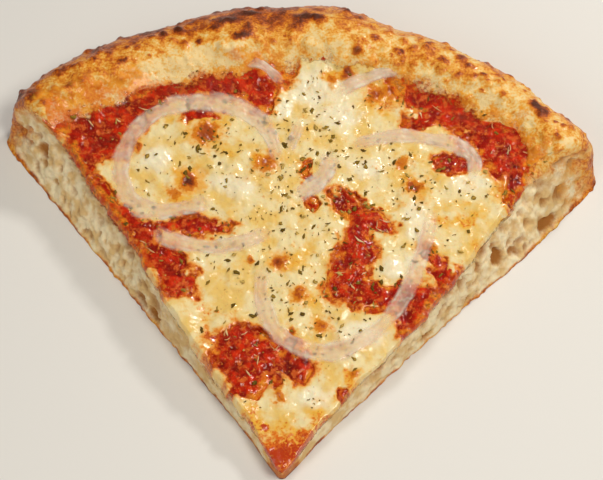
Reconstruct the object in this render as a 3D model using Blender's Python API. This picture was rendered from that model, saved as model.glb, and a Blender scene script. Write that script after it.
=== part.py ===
"""Pugliese pizza slice: a wedge cut from a thick round pizza of about 32 cm.

The pieces, from the bottom up, are the baked dough with its risen rim, a layer of crushed
tomato sauce, a layer of melted mozzarella with gaps where the sauce shows, and eight strips
of sliced white onion. The slice lies flat on its base, which is at z = 0, its tip points
towards -Y and its rim towards +Y. The origin is under the middle of its outline.

Places on the slice are polar: an angle from +Y towards +X, in degrees, and a distance from
the tip. Lengths are in millimetres until a mesh is made.
"""
import bpy
import bmesh
import numpy as np

MM = 0.001

# The cut: the knife leaned, so the base is a wider wedge than the top.
BASE_LEFT = -41.7
BASE_RIGHT = 41.3
TOP_LEFT = -38.5
TOP_RIGHT = 38.6

# The dough: thin at the tip, thicker towards the rim.
TIP_THICKNESS = 5.0
CENTRE_THICKNESS = 16.0
FULL_THICKNESS_AT = 130.0
RIM_RISE = 10.0
RIM_WIDTH = 11.0
CREST_RADIUS = 147.0
BELLY_HEIGHT = 11.5
OUTER_RADIUS = 160.5
BASE_TUCK = 6.5

# The layers on the dough, and the gap kept between pieces that touch.
GAP = 0.3
TOPPING_START = 8.0
TOPPING_EDGE = 139.5
EDGE_THINNING_WIDTH = 16.0
EDGE_THINNESS = 0.4
SAUCE_THICKNESS = 1.2
SAUCE_MOUND = 1.1
CHEESE_THICKNESS = 2.0
ONION_THICKNESS = 1.6
ONION_LIFT = 0.4

# How finely the surfaces are divided.
COLUMNS = 24
TOPPING_ROWS = 16
RIM_ROWS = 4
WALL_RINGS = 6
POOL_SIDES = 12
ONION_STEP = 6.0

# Gaps in the cheese where sauce shows: middle across and along from the tip, half length,
# half width, and turn in degrees.
SAUCE_POOLS = (
    (-28, 134, 19, 9, 6),
    (-52, 127, 16, 9, 24),
    (-76, 112, 18, 13, 38),
    (-75, 98, 10, 6, -50),
    (-62, 84, 9, 5, -50),
    (-43, 61, 11, 6, -52),
    (-31, 75, 8, 4, -5),
    (-33, 113, 8, 4, 0),
    (37, 129, 14, 7, -14),
    (61, 119, 16, 8, -36),
    (72, 105, 9, 7, -85),
    (49, 106, 5, 4, -10),
    (1, 98, 6, 4, 20),
    (21, 84, 13, 5, -32),
    (19, 68, 13, 6, 95),
    (32, 54, 12, 5, -38),
    (49, 66, 10, 4, 75),
    (-10, 34, 13, 8, -18),
)

# Onion strips: width, then the points that the middle of the strip passes through.
ONION_STRIPS = (
    (6.4, ((-10.5, 111), (-15, 117.5), (-27, 123), (-41, 121.5), (-53, 115), (-58, 104),
           (-58, 92), (-53, 83), (-43, 81), (-27, 86))),
    (5.6, ((-46, 76), (-42, 71.5), (-31, 69.5), (-18, 71), (-8, 77))),
    (5.0, ((-22, 139), (-15, 136), (-9, 132))),
    (4.8, ((28, 137.5), (20, 135), (12, 130.5))),
    (6.0, ((21, 112), (31, 114), (42, 113.5), (51, 111), (55.5, 106), (54.5, 100))),
    (4.6, ((-1.5, 118.5), (-3, 112), (-6, 104.5))),
    (5.2, ((9.5, 106), (7.5, 99), (4, 93.5), (-1.5, 89.5))),
    (6.2, ((37.5, 92), (37, 76), (34, 58), (26, 43), (15, 37), (5, 37.5), (-5, 43),
           (-10, 54), (-10, 64))),
)

DOUGH_COLOUR = (0.74, 0.55, 0.31)
SAUCE_COLOUR = (0.47, 0.035, 0.012)
CHEESE_COLOUR = (0.84, 0.72, 0.45)
ONION_COLOUR = (0.83, 0.72, 0.60)


def smooth_step(low, high, value):
    """0 below low, 1 above high, and a smooth rise between them."""
    part = np.clip((value - low) / (high - low), 0.0, 1.0)
    return part * part * (3.0 - 2.0 * part)


def flat_place(angle, radius):
    """Across and along from the tip, for an angle in degrees and a distance from the tip."""
    turn = np.radians(angle)
    return radius * np.sin(turn), radius * np.cos(turn)


def crest_radius(angle):
    """Distance of the rim's crest from the tip: nearly round, with rounded-off corners."""
    corners = 2.0 * smooth_step(22, 40, -angle) + 6.0 * smooth_step(24, 40, angle)
    return CREST_RADIUS + 1.5 * np.exp(-((angle + 2) / 9) ** 2) - corners


def outer_radius(angle):
    """Distance of the rim's widest line: a bump near the middle, rounded-off corners."""
    bump = 2.4 * np.exp(-((angle - 1) / 5) ** 2) + 6.2 * np.exp(-((angle + 5) / 15) ** 2)
    ripple = 0.5 * np.sin(np.radians(31 * angle))
    corners = 5.0 * smooth_step(26, 42, -angle) + 9.0 * smooth_step(12, 44, angle)
    return OUTER_RADIUS - 0.03 * angle + bump + ripple - corners


def base_radius(angle):
    """Distance of the base's edge: tucked in under the rim, less so at the corners."""
    return outer_radius(angle) - BASE_TUCK * (1.0 - 0.9 * smooth_step(15, 38, np.abs(angle)))


def rim_rise(angle):
    """Height of the rim's crest over the dough inside it: uneven, lower at the corners."""
    uneven = 1.1 * np.sin(np.radians(9 * angle + 60)) + 0.7 * np.sin(np.radians(23 * angle))
    corners = 1.5 * smooth_step(26, 40, -angle) + 3.5 * smooth_step(22, 40, angle)
    return RIM_RISE + uneven - corners


def topping_edge(angle):
    """Distance at which the toppings end: a slow wave, pulled in at the right corner."""
    corner = 17.0 * smooth_step(30, 40, angle)
    return TOPPING_EDGE - 1.4 * np.sin(np.radians(3 * angle)) - corner


def base_widening(angle, radius):
    """How much wider the base is than the top, as a ratio of angles. The cut faces bow out a
    little, most of all on the right, two thirds of the way to the rim."""
    bow = 0.7 * smooth_step(0, 12, radius)
    bow = bow + np.where(angle > 0, 1.8 * np.exp(-((radius - 112) / 26) ** 2), 0.0)
    outwards = np.degrees(bow / np.maximum(radius, 1.0))
    left = (BASE_LEFT - outwards) / TOP_LEFT
    right = (BASE_RIGHT + outwards) / TOP_RIGHT
    return np.where(angle < 0, left, right)


def dough_top(angle, radius):
    """Height of the dough: a quarter wave from the tip, a gentle swell, and the rim's rise."""
    along = np.minimum(radius / FULL_THICKNESS_AT, 1.0)
    body = TIP_THICKNESS + (CENTRE_THICKNESS - TIP_THICKNESS) * np.sin(np.pi / 2 * along)
    swell = 0.5 * along * np.sin(np.radians(6 * angle + 1.5 * radius))
    rim = rim_rise(angle) * np.exp(-((radius - crest_radius(angle)) / RIM_WIDTH) ** 2)
    return body + swell + rim


def thinning(angle, radius):
    """1 over most of the slice, falling to EDGE_THINNESS where the toppings meet the rim."""
    falling = smooth_step(-EDGE_THINNING_WIDTH, 0.0, radius - topping_edge(angle))
    return 1.0 - (1.0 - EDGE_THINNESS) * falling


def pool_depth(across, along):
    """1 in the middle of a sauce pool and 0 outside every pool."""
    depth = np.zeros_like(across)
    for middle_x, middle_y, half_length, half_width, turn in SAUCE_POOLS:
        c, s = np.cos(np.radians(turn)), np.sin(np.radians(turn))
        x, y = across - middle_x, along - middle_y
        reach = np.hypot((c * x + s * y) / half_length, (c * y - s * x) / half_width)
        depth = np.maximum(depth, 1.0 - smooth_step(0.35, 1.0, reach))
    return depth


def sauce_top(angle, radius):
    """The sauce's upper surface: an even layer, mounded up in the pools."""
    mound = SAUCE_MOUND * pool_depth(*flat_place(angle, radius))
    thickness = (SAUCE_THICKNESS + mound) * thinning(angle, radius)
    return dough_top(angle, radius) + GAP + thickness


def cheese_top(angle, radius):
    """The cheese's upper surface, a little lumpy, thinner where it runs out at the rim."""
    lumps = 0.3 * np.sin(np.radians(11 * angle + 40)) * np.sin(np.radians(4.2 * radius))
    thickness = (SAUCE_THICKNESS + CHEESE_THICKNESS + lumps) * thinning(angle, radius)
    return dough_top(angle, radius) + GAP + GAP + thickness


def column_angles():
    return np.linspace(TOP_LEFT, TOP_RIGHT, COLUMNS + 1)


def topping_grid():
    """Angles and distances of the grid that every layer shares, closer near the rim."""
    angle = column_angles()[None, :]
    part = 1.0 - np.linspace(1.0, 0.0, TOPPING_ROWS + 1)[:, None] ** 1.5
    radius = TOPPING_START + (topping_edge(angle) - TOPPING_START) * part
    return np.broadcast_to(angle, radius.shape), radius


def make_object(name, vertices, faces, material):
    """One closed mesh from millimetre points; its faces are turned to point outwards."""
    mesh = bpy.data.meshes.new(name)
    mesh.from_pydata((np.asarray(vertices) * MM).tolist(), [], faces)
    shape = bmesh.new()
    shape.from_mesh(mesh)
    bmesh.ops.recalc_face_normals(shape, faces=shape.faces)
    shape.to_mesh(mesh)
    shape.free()
    mesh.materials.append(material)
    mesh.shade_smooth()
    mesh.set_sharp_from_angle(angle=np.radians(40))
    piece = bpy.data.objects.new(name, mesh)
    bpy.context.scene.collection.objects.link(piece)
    return piece


def make_material(name, colour, roughness):
    material = bpy.data.materials.new(name)
    material.use_nodes = True
    surface = material.node_tree.nodes["Principled BSDF"]
    surface.inputs["Base Color"].default_value = (*colour, 1.0)
    surface.inputs["Roughness"].default_value = roughness
    surface.inputs["Metallic"].default_value = 0.0
    return material


def grid_faces(rows, columns, first=0, flip=False):
    """Two triangles for each cell of a grid, split along the same diagonal in every layer."""
    faces = []
    for row in range(rows):
        for column in range(columns):
            corner = first + row * (columns + 1) + column
            above = corner + columns + 1
            pair = ((corner, corner + 1, above + 1), (corner, above + 1, above))
            faces += [face[::-1] for face in pair] if flip else list(pair)
    return faces


def make_dough(material):
    """The baked base: a fan and a grid on top, rings down the cut faces and the rim, and a
    flat underside. A ring's points slide from the top edge to the base edge."""
    angle, inner = topping_grid()
    angles = column_angles()
    edge, crest = inner[-1], crest_radius(angles)
    rim_part = np.linspace(0.0, 1.0, RIM_ROWS + 1)[1:, None]
    radius = np.vstack([inner, edge + (crest - edge) * rim_part])
    angle = np.broadcast_to(angles, radius.shape)
    across, along = flat_place(angle, radius)
    top = np.stack([across, along, dough_top(angle, radius)], axis=-1)
    rows = len(radius) - 1
    tip = [[0.0, 0.0, TIP_THICKNESS]]
    vertices = [*tip, *top.reshape(-1, 3).tolist()]
    faces = grid_faces(rows, COLUMNS, first=1)
    faces += [(0, 1 + column, 2 + column) for column in range(COLUMNS)]

    left = [(row, 0) for row in range(rows + 1)]
    crest_line = [(rows, column) for column in range(1, COLUMNS)]
    right = [(row, COLUMNS) for row in range(rows, -1, -1)]
    edge_cells = left + crest_line + right
    ring = [0] + [1 + row * (COLUMNS + 1) + column for row, column in edge_cells]
    start_angle = np.array([0.0] + [angle[cell] for cell in edge_cells])
    start_radius = np.array([0.0] + [radius[cell] for cell in edge_cells])
    start_height = np.array([TIP_THICKNESS] + [top[cell][2] for cell in edge_cells])
    fullness = smooth_step(0.80, 1.0, start_radius / crest_radius(start_angle))
    widening = base_widening(start_angle, start_radius)

    for step in np.linspace(0.0, 1.0, WALL_RINGS + 1)[1:]:
        turn = np.radians(90.0 - 180.0 * step)
        end_radius = crest_radius(start_angle) if turn > 0 else base_radius(start_angle)
        end_height = start_height if turn > 0 else 0.0
        out = end_radius + (outer_radius(start_angle) - end_radius) * np.cos(turn)
        bulge = out - crest_radius(start_angle)
        round_height = BELLY_HEIGHT + (end_height - BELLY_HEIGHT) * np.abs(np.sin(turn))
        height = start_height * (1.0 - step) * (1.0 - fullness) + round_height * fullness
        spread = start_angle * (1.0 + (widening - 1.0) * step)
        across, along = flat_place(spread, start_radius + bulge * fullness)
        height = np.zeros_like(across) if step == 1.0 else height
        next_ring = list(range(len(vertices), len(vertices) + len(ring)))
        vertices += np.stack([across, along, height], axis=-1).tolist()
        for here in range(len(ring)):
            after = (here + 1) % len(ring)
            faces.append((ring[here], ring[after], next_ring[after], next_ring[here]))
        ring = next_ring
    faces.append(tuple(ring))
    return make_object("dough", vertices, faces, material)


def make_layer(name, bottom, top, material):
    """A closed layer on the shared grid between two heights, with upright edges."""
    angle, radius = topping_grid()
    across, along = flat_place(angle, radius)
    low = np.stack([across, along, bottom(angle, radius)], axis=-1).reshape(-1, 3)
    high = np.stack([across, along, top(angle, radius)], axis=-1).reshape(-1, 3)
    count = len(low)
    faces = grid_faces(TOPPING_ROWS, COLUMNS, flip=True)
    faces += grid_faces(TOPPING_ROWS, COLUMNS, first=count)
    index = np.arange(count).reshape(angle.shape)
    loop = [*index[0, :-1], *index[:-1, -1], *index[-1, :0:-1], *index[:0:-1, 0]]
    for here in range(len(loop)):
        one, two = int(loop[here]), int(loop[(here + 1) % len(loop)])
        faces.append((one, two, two + count, one + count))
    return make_object(name, [*low.tolist(), *high.tolist()], faces, material)


def cut_pools(cheese, material):
    """Cut an upright oval hole through the cheese for each sauce pool."""
    for number, (across, along, half_length, half_width, turn) in enumerate(SAUCE_POOLS):
        around = np.radians(np.arange(POOL_SIDES) * 360.0 / POOL_SIDES)
        c, s = np.cos(np.radians(turn)), np.sin(np.radians(turn))
        x, y = half_length * np.cos(around), half_width * np.sin(around)
        outline = np.stack([across + c * x - s * y, along + s * x + c * y], axis=-1)
        floor = np.column_stack([outline, np.full(POOL_SIDES, 2.0)])
        roof = np.column_stack([outline, np.full(POOL_SIDES, 40.0)])
        faces = [tuple(range(POOL_SIDES))[::-1], tuple(range(POOL_SIDES, 2 * POOL_SIDES))]
        for here in range(POOL_SIDES):
            after = (here + 1) % POOL_SIDES
            faces.append((here, after, after + POOL_SIDES, here + POOL_SIDES))
        cutter = make_object(f"pool_cutter_{number + 1}", [*floor, *roof], faces, material)
        cutter.hide_render = True
        cutter.display_type = "WIRE"
        cutter.parent = cheese.parent
        cut = cheese.modifiers.new(f"pool_{number + 1}", "BOOLEAN")
        cut.operation = "DIFFERENCE"
        cut.solver = "EXACT"
        cut.object = cutter


def smooth_route(points):
    """Points every few millimetres on a curve through the given ones (Catmull-Rom)."""
    given = np.array(points, dtype=float)
    before = 2 * given[0] - given[1]
    beyond = 2 * given[-1] - given[-2]
    padded = np.vstack([before, given, beyond])
    route = []
    for p0, p1, p2, p3 in zip(padded, padded[1:], padded[2:], padded[3:]):
        pieces = max(2, round(float(np.hypot(*(p2 - p1))) / ONION_STEP))
        t = (np.arange(pieces) / pieces)[:, None]
        bend = (2 * p0 - 5 * p1 + 4 * p2 - p3) * t**2 + (3 * p1 - p0 - 3 * p2 + p3) * t**3
        route.append(p1 + 0.5 * ((p2 - p0) * t + bend))
    return np.vstack([*route, given[-1:]])


def make_onion(name, width, points, material):
    """A flat ribbon with rounded edges and narrowed ends, laid along its route. Each point
    of the ribbon takes its height from the cheese straight below it."""
    route = smooth_route(points)
    heading = np.gradient(route, axis=0)
    heading /= np.linalg.norm(heading, axis=1, keepdims=True)
    sideways = np.stack([heading[:, 1], -heading[:, 0]], axis=-1)
    narrowing = np.ones(len(route))
    narrowing[[0, -1]] = 0.6
    profile = ((-0.38, 0.0), (0.38, 0.0), (0.5, 0.5), (0.30, 1.0), (-0.30, 1.0), (-0.5, 0.5))
    vertices = []
    for side, height in profile:
        place = route + sideways * (side * width * narrowing)[:, None]
        angle = np.degrees(np.arctan2(place[:, 0], place[:, 1]))
        surface = cheese_top(angle, np.hypot(place[:, 0], place[:, 1]))
        lift = ONION_LIFT + ONION_THICKNESS * (0.5 + (height - 0.5) * narrowing)
        vertices.append(np.column_stack([place, surface + lift]))
    sides, count = len(profile), len(route)
    vertices = np.stack(vertices, axis=1).reshape(-1, 3)
    faces = [tuple(range(sides)), tuple(range((count - 1) * sides, count * sides))[::-1]]
    for row in range(count - 1):
        for side in range(sides):
            here, after = row * sides + side, row * sides + (side + 1) % sides
            faces.append((here, after, after + sides, here + sides))
    return make_object(name, vertices, faces, material)


def main():
    for existing in list(bpy.data.objects):
        bpy.data.objects.remove(existing, do_unlink=True)
    baked = make_material("baked_dough", DOUGH_COLOUR, 0.75)
    tomato = make_material("tomato_sauce", SAUCE_COLOUR, 0.25)
    melted = make_material("mozzarella", CHEESE_COLOUR, 0.35)
    onion = make_material("white_onion", ONION_COLOUR, 0.30)

    dough = make_dough(baked)
    sauce = make_layer("tomato_sauce", lambda a, r: dough_top(a, r) + GAP, sauce_top, tomato)
    cheese = make_layer("mozzarella", lambda a, r: sauce_top(a, r) + GAP, cheese_top, melted)
    strips = [
        make_onion(f"onion_{number + 1}", width, points, onion)
        for number, (width, points) in enumerate(ONION_STRIPS)
    ]

    corners = np.array([vertex.co for vertex in dough.data.vertices])
    middle = (corners.min(axis=0) + corners.max(axis=0)) / 2
    slice_place = bpy.data.objects.new("slice_place", None)
    bpy.context.scene.collection.objects.link(slice_place)
    slice_place.location = (-middle[0], -middle[1], 0.0)
    for piece in (dough, sauce, cheese, *strips):
        piece.parent = slice_place
    cut_pools(cheese, melted)
    bpy.context.view_layer.update()


main()
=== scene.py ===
"""Looks of the pugliese pizza slice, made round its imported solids.

The slice lies on its base with its tip towards -Y. Shapes are worked out in millimetres from
the tip, as an angle from +Y towards +X and a distance, or as across and along; a mesh gets its
points in metres, in the frame of the solids. The dough, the sauce, the cheese and each onion
strip replace their plain solids, and dried oregano and pale bits of stem are added.
"""

import bpy
import numpy as np
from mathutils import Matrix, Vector


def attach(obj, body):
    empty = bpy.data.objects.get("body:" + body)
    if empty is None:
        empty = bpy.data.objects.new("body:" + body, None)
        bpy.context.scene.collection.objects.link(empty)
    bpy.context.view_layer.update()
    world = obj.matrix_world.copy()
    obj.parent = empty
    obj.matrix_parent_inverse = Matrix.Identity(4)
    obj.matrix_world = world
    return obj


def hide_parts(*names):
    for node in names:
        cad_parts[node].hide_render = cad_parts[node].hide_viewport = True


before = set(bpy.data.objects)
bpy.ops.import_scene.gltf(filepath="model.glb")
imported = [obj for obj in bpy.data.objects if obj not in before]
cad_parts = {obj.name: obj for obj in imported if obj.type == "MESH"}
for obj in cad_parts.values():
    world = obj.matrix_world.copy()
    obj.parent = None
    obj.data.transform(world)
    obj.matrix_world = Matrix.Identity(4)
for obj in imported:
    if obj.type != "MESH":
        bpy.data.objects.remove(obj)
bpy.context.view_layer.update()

MM = 0.001
BODY = "root"

# The cut and the dough, as the solids have them.
BASE_LEFT = -41.7
BASE_RIGHT = 41.3
TOP_LEFT = -38.5
TOP_RIGHT = 38.6
TIP_THICKNESS = 5.0
CENTRE_THICKNESS = 16.0
FULL_THICKNESS_AT = 130.0
RIM_RISE = 10.0
RIM_WIDTH = 11.0
CREST_RADIUS = 147.0
BELLY_HEIGHT = 11.5
OUTER_RADIUS = 160.5
BASE_TUCK = 6.5
TOPPING_EDGE = 139.5
LEFT_CUT_FACING = TOP_LEFT - 90.0
RIGHT_CUT_FACING = TOP_RIGHT + 90.0

# Height from which the rim's relief is squeezed, and how far past it the highest may reach.
SQUEEZED_FROM = 26.2
SQUEEZED_INTO = 1.5

# Middles that the rings of the dough's top and base, and those under a topping, run in to.
DOUGH_MIDDLE = (0.0, 100.0)
LAYER_MIDDLE = (0.0, 95.0, 9.0)

# Length and height of the part of a cut that has pores, and their number, least and most.
CUT_LENGTH = 158.0
CUT_HEIGHT = 25.0
LEFT_PORES = ((50, 1.5, 3.2), (900, 0.8, 1.9), (6000, 0.35, 0.9))
RIGHT_PORES = ((100, 1.6, 3.4), (1300, 0.8, 2.0), (6000, 0.35, 0.9))
BLISTER_COUNT = 900
OREGANO_COUNT = 900
STEM_BIT_COUNT = 44

# How far the floor reaches each way, and how far it lies under the slice, in metres.
FLOOR_REACH = 3.0
FLOOR_GAP = 0.0001

# How finely the surfaces are divided.
CUT_COLUMNS = 280
RIM_COLUMNS = 350
WALL_ROWS = 54
RIM_TOP_ROWS = 26
RIM_TOP_REACH = 17.0
TIP_COLUMNS = 9
TIP_ROUND = 1.7
TIP_ROUND_REACH = 16.0
LAYER_CELLS = 286
ROLL_ROWS = 14
ONION_STEP = 0.5
ONION_SIDES = 32

# Gaps in the cheese where sauce shows: middle across and along from the tip, half length,
# half width, and turn in degrees.
SAUCE_POOLS = (
    (-27, 131, 14, 5.0, 6), (-22, 135.5, 6, 2.6, -5), (-15.5, 127, 4.6, 5.6, 0),
    (-42, 127.5, 7, 2.4, 14), (-53, 121, 9, 3.4, 36), (-65, 113.5, 10, 6.6, 18), (-73, 108, 5, 7, 0),
    (-66, 104.5, 8, 5.6, 0), (-71, 97, 3.6, 5, 0), (-64.5, 86.5, 5.4, 3.0, -55),
    (-57, 78, 5.6, 3.2, -40), (-50, 73, 4.6, 3.4, -45), (-33, 76.5, 8.6, 3.0, 3),
    (-42.5, 76, 3.0, 1.6, 0), (-41.5, 63.5, 8.5, 4.4, -18), (-36.5, 56.5, 5.2, 4.2, -40),
    (-35.5, 117, 5, 1.8, 8), (46, 126, 12, 6.4, -10), (61, 114.5, 10.5, 6.6, -40),
    (67, 106, 7.5, 6.2, -60), (72, 112, 4.4, 5.6, 0), (68.5, 95, 2.8, 4.6, 0), (38, 120, 4.5, 2.6, 0),
    (48, 105, 4.8, 3.4, 0), (14.5, 88, 5, 3.8, -35), (23, 82, 6.4, 3.2, -22), (19, 77, 3.6, 4, 0),
    (20, 71, 5, 5, 0), (17, 62.5, 5.4, 6, 0), (22, 56.5, 10, 4.0, -4), (34, 57.5, 5, 2.6, 0),
    (39, 50, 5.4, 9.4, 0), (42.5, 49.5, 9, 4.0, 50), (48, 63, 4.2, 3.2, 20), (44.5, 69, 3.4, 1.6, -40),
    (3.5, 87, 1.7, 1.7, 0), (1, 99, 1.6, 3, 0), (-12, 33, 11.5, 6.6, -5), (-16, 38.5, 7, 5, 0),
    (-13, 25.5, 5.4, 4.4, 0), (2, 31, 4.4, 4, 0), (16.5, 23, 1.6, 1.3, 0),
)

# Browned blisters in the cheese: across, along, radius, and how dark they are.
BROWNED_SPOTS = (
    (-32.5, 111, 5.0, 0.7), (23, 129.5, 4.4, 0.6), (28, 131, 3.4, 0.7), (-36.5, 92.5, 4.0, 1.0),
    (-40.5, 87.5, 3.0, 0.45), (-12, 101, 4.5, 0.55), (36.5, 95, 3.8, 0.75), (13, 136.2, 2.6, 0.85),
    (8, 133.5, 2.6, 0.6), (42, 73, 3.6, 0.6), (32.5, 104, 2.8, 0.45), (-57, 105, 2.6, 0.45),
    (66, 94, 4.0, 0.4), (-5, 66, 3.0, 0.75), (-15, 65, 1.7, 0.6), (2, 54, 3.0, 0.6),
    (9.5, 45, 3.2, 0.55), (0, 43, 1.6, 0.6), (-2, 21, 2.2, 0.5), (16.5, 23, 1.7, 0.5),
    (20.5, 29, 2.4, 0.45),
)

# Charred places on the rim: across, along, half length along the rim, half width, how dark.
CHARRED_SPOTS = (
    (-3.4, 155.5, 3.6, 3.0, 0.50), (2.4, 154.6, 3.0, 2.6, 0.52), (-4.5, 151.5, 3.2, 2.0, 0.42),
    (-30.5, 153, 3.0, 2.4, 0.50), (-26.6, 152.6, 2.2, 1.8, 0.46), (-32.3, 148.6, 2.0, 1.6, 0.60),
    (-21.5, 147.7, 3.0, 2.2, 0.62), (-24.3, 145, 2.4, 1.5, 0.50), (-20.7, 157.6, 3.0, 1.4, 0.50),
    (-49.7, 146.6, 1.7, 1.5, 0.52), (-51.2, 144.2, 1.6, 1.5, 0.42), (-44.4, 147.9, 2.0, 1.7, 0.45),
    (-37.8, 143.3, 1.2, 1.2, 0.52), (-54.2, 144.9, 1.6, 1.3, 0.38), (-43.2, 143, 1.9, 1.5, 0.36),
    (-69.4, 123.4, 1.3, 1.0, 0.62), (-77.5, 117.9, 1.2, 0.9, 0.50), (-74.8, 123, 0.9, 0.7, 0.45),
    (-61.6, 139, 1.6, 1.2, 0.46), (-57.9, 139.2, 1.3, 1.1, 0.42), (-67.4, 135.4, 1.6, 1.3, 0.42),
    (-71.7, 131.9, 1.0, 0.9, 0.36), (-61.1, 132.8, 0.8, 0.8, 0.40), (-53.2, 135.9, 0.9, 0.7, 0.40),
    (-82.4, 127.8, 3.0, 1.6, 0.36), (-79.3, 121.4, 2.0, 1.2, 0.30), (-90.4, 118, 3.0, 2.3, 0.40),
    (-85.7, 115.1, 2.1, 1.5, 0.42), (-95.2, 117, 1.5, 2.3, 0.42), (21.6, 147.9, 2.0, 1.5, 0.46),
    (16.1, 142.6, 1.9, 1.5, 0.38), (22, 140, 1.0, 0.9, 0.50), (27.3, 141.7, 0.9, 0.8, 0.50),
    (29.2, 143.5, 2.0, 1.5, 0.48), (31.7, 148, 1.8, 1.5, 0.42), (15.5, 158.1, 2.3, 1.5, 0.40),
    (38.2, 145.1, 1.2, 0.9, 0.42), (39.5, 147.6, 1.5, 1.2, 0.42), (44.3, 140.6, 2.2, 1.5, 0.48),
    (50.6, 141.6, 2.2, 1.8, 0.48), (52.3, 139.4, 1.5, 1.3, 0.38), (58.4, 135.6, 1.5, 0.9, 0.40),
    (62.7, 133.3, 1.8, 0.9, 0.42), (57.2, 130.5, 1.0, 0.9, 0.62), (55.7, 129.8, 0.7, 0.6, 0.50),
    (65.4, 129.4, 1.9, 1.6, 0.48), (74.4, 125.7, 2.6, 1.7, 0.66), (77.6, 122.9, 3.2, 2.3, 0.70),
    (81.7, 118.5, 1.2, 0.9, 0.50), (84.4, 117, 0.9, 0.8, 0.42), (88.2, 111.9, 1.2, 0.9, 0.34),
)

# Pale doughy places on the rim: across, along, half length along it, half width, how pale.
PALE_PLACES = (
    (-49, 132.5, 9, 4.4, 0.26), (-39.8, 136, 10, 5, 0.32), (-30, 139.5, 8, 4.4, 0.27),
    (-3.5, 145.5, 8, 4.4, 0.10), (6.5, 143.5, 8, 4.4, 0.12), (-2, 140.5, 12, 3.8, 0.08),
    (36, 135, 9, 3.6, 0.20), (47, 132.5, 8, 3.4, 0.18), (60, 127.5, 6, 3, 0.14), (72, 119, 6, 4, 0.10),
    (83, 112, 7, 6, 0.08),
)

# Places yellow or orange with oil: across, along, half width, half length, how much.
OILY_PLACES = (
    (-46, 114, 4, 3, 0.7), (-28, 113, 7, 5, 0.8), (-10, 115, 2.6, 3, 0.6), (-58, 104, 4, 4, 1.0),
    (-60, 94, 5, 5, 0.7), (-37, 86, 6, 2.4, 0.7), (-24, 103, 4, 3, 0.6), (-65, 75, 4, 4, 0.7),
    (-28, 81, 4, 2, 0.7), (-22, 74, 3, 3, 0.7), (-14, 102.5, 6, 4, 0.95), (0, 100, 5, 5, 0.9),
    (4, 87, 4.6, 4.6, 0.8), (7, 79, 2, 2, 0.6), (4, 54, 8, 4, 0.75), (7, 45, 7, 4, 0.75),
    (-12, 75, 4, 3, 0.45), (26, 107, 4, 5, 0.5), (35, 106, 5, 3, 0.8), (41, 98, 7, 4, 0.6),
    (31, 88, 4, 5, 0.7), (31, 76, 2, 5, 0.7), (26, 126.5, 8, 4.6, 1.15), (8, 135, 6, 3.6, 1.0),
    (14, 124, 4, 3, 0.5), (46, 83, 7, 4, 0.9), (54, 84, 5, 4, 0.9), (52, 90, 4, 3, 0.6),
    (42, 72, 5, 4, 0.85), (47, 56, 4, 6, 0.8), (57, 76, 3, 5, 0.7), (60, 86, 3, 5, 0.6),
    (66, 91, 4, 5, 0.9), (36, 37, 5, 6, 1.0), (19, 28, 3, 5, 0.95), (16, 23, 3.4, 3, 0.9),
    (10, 15, 6, 5, 0.9), (0, 6, 15, 10, 0.95), (-10, 14, 5, 8, 0.9), (6, 10, 4, 3, 1.2),
    (-3, 3, 6, 4, 1.05), (-6, 11, 2, 3, 1.2), (-27, 47, 4, 5, 0.9), (-34, 50, 3, 6, 0.7),
    (9, 30, 3.4, 4, 0.8), (-83, 113, 9, 9, 1.1), (-70, 121, 9, 5, 1.1), (-58, 128, 7, 4, 0.9),
    (-24, 139.5, 5, 3, 0.9), (76, 106, 4, 8, 1.0), (88, 108, 6, 5, 0.75), (93, 103, 4, 6, 0.8),
    (71, 122, 5, 3, 0.7),
)

# Whole whiter pieces of cheese that have only slumped: across, along, half width, half length.
WHITE_PIECES = (
    (3, 131, 15, 8), (11, 121, 8, 6), (-8, 122, 5, 5), (37, 84, 5, 9), (30, 65, 4, 5), (37, 67, 4, 5),
    (55, 98, 8, 4), (8, 22, 6, 4), (-31, 61, 5, 4), (-22, 92, 8, 5), (20, 101, 8, 4), (22, 42, 9, 5),
    (-48, 100, 6, 6), (33, 121, 3, 5),
)

# Onion strips: width, how solid, and the points that the middle of the strip passes through.
ONION_STRIPS = (
    (7.6, 1.0, ((-8, 101.5), (-11, 110.5), (-16.5, 118), (-28, 122.6), (-41, 121.5), (-52.5, 115),
                (-58.5, 104), (-58.5, 92), (-53, 83), (-43, 81), (-27, 86))),
    (5.8, 1.0, ((-46, 76), (-42, 71.5), (-31, 69.5), (-18, 71), (-8, 77))),
    (5.6, 1.2, ((-22, 139.5), (-15, 137), (-8, 132))),
    (5.4, 1.45, ((31, 139), (20, 135), (9, 129))),
    (6.6, 1.2, ((15, 110), (30, 114), (42, 113.5), (51, 111), (56, 106), (55.5, 98))),
    (4.6, 0.9, ((-1.5, 118.5), (-3, 112), (-6, 104.5))),
    (7.2, 1.3, ((9.5, 107), (8, 99), (4, 93.5), (-2.5, 88.5))),
    (6.6, 0.8, ((43, 88), (41, 76), (37, 61), (28, 45.5), (16, 37), (5, 37), (-5, 42.5),
                (-10, 54), (-10, 64))),
)


# ---------------------------------------------------------------- plain maths

def smooth_step(low, high, value):
    """0 below low, 1 above high, and a smooth rise between them."""
    part = np.clip((value - low) / (high - low), 0.0, 1.0)
    return part * part * (3.0 - 2.0 * part)


def bell(value, width):
    """1 where the value is 0, falling away smoothly over the width."""
    return np.exp(-((value / width) ** 2))


def flat_place(angle, radius):
    """Across and along from the tip, for an angle in degrees and a distance from the tip."""
    turn = np.radians(angle)
    return radius * np.sin(turn), radius * np.cos(turn)


def polar_place(across, along):
    """Angle in degrees and distance from the tip, for a place across and along."""
    return np.degrees(np.arctan2(across, along)), np.hypot(across, along)


def flat_points(angle, radius):
    """As flat_place, with across and along side by side on a last axis."""
    return np.stack(flat_place(angle, radius), axis=-1)


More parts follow.
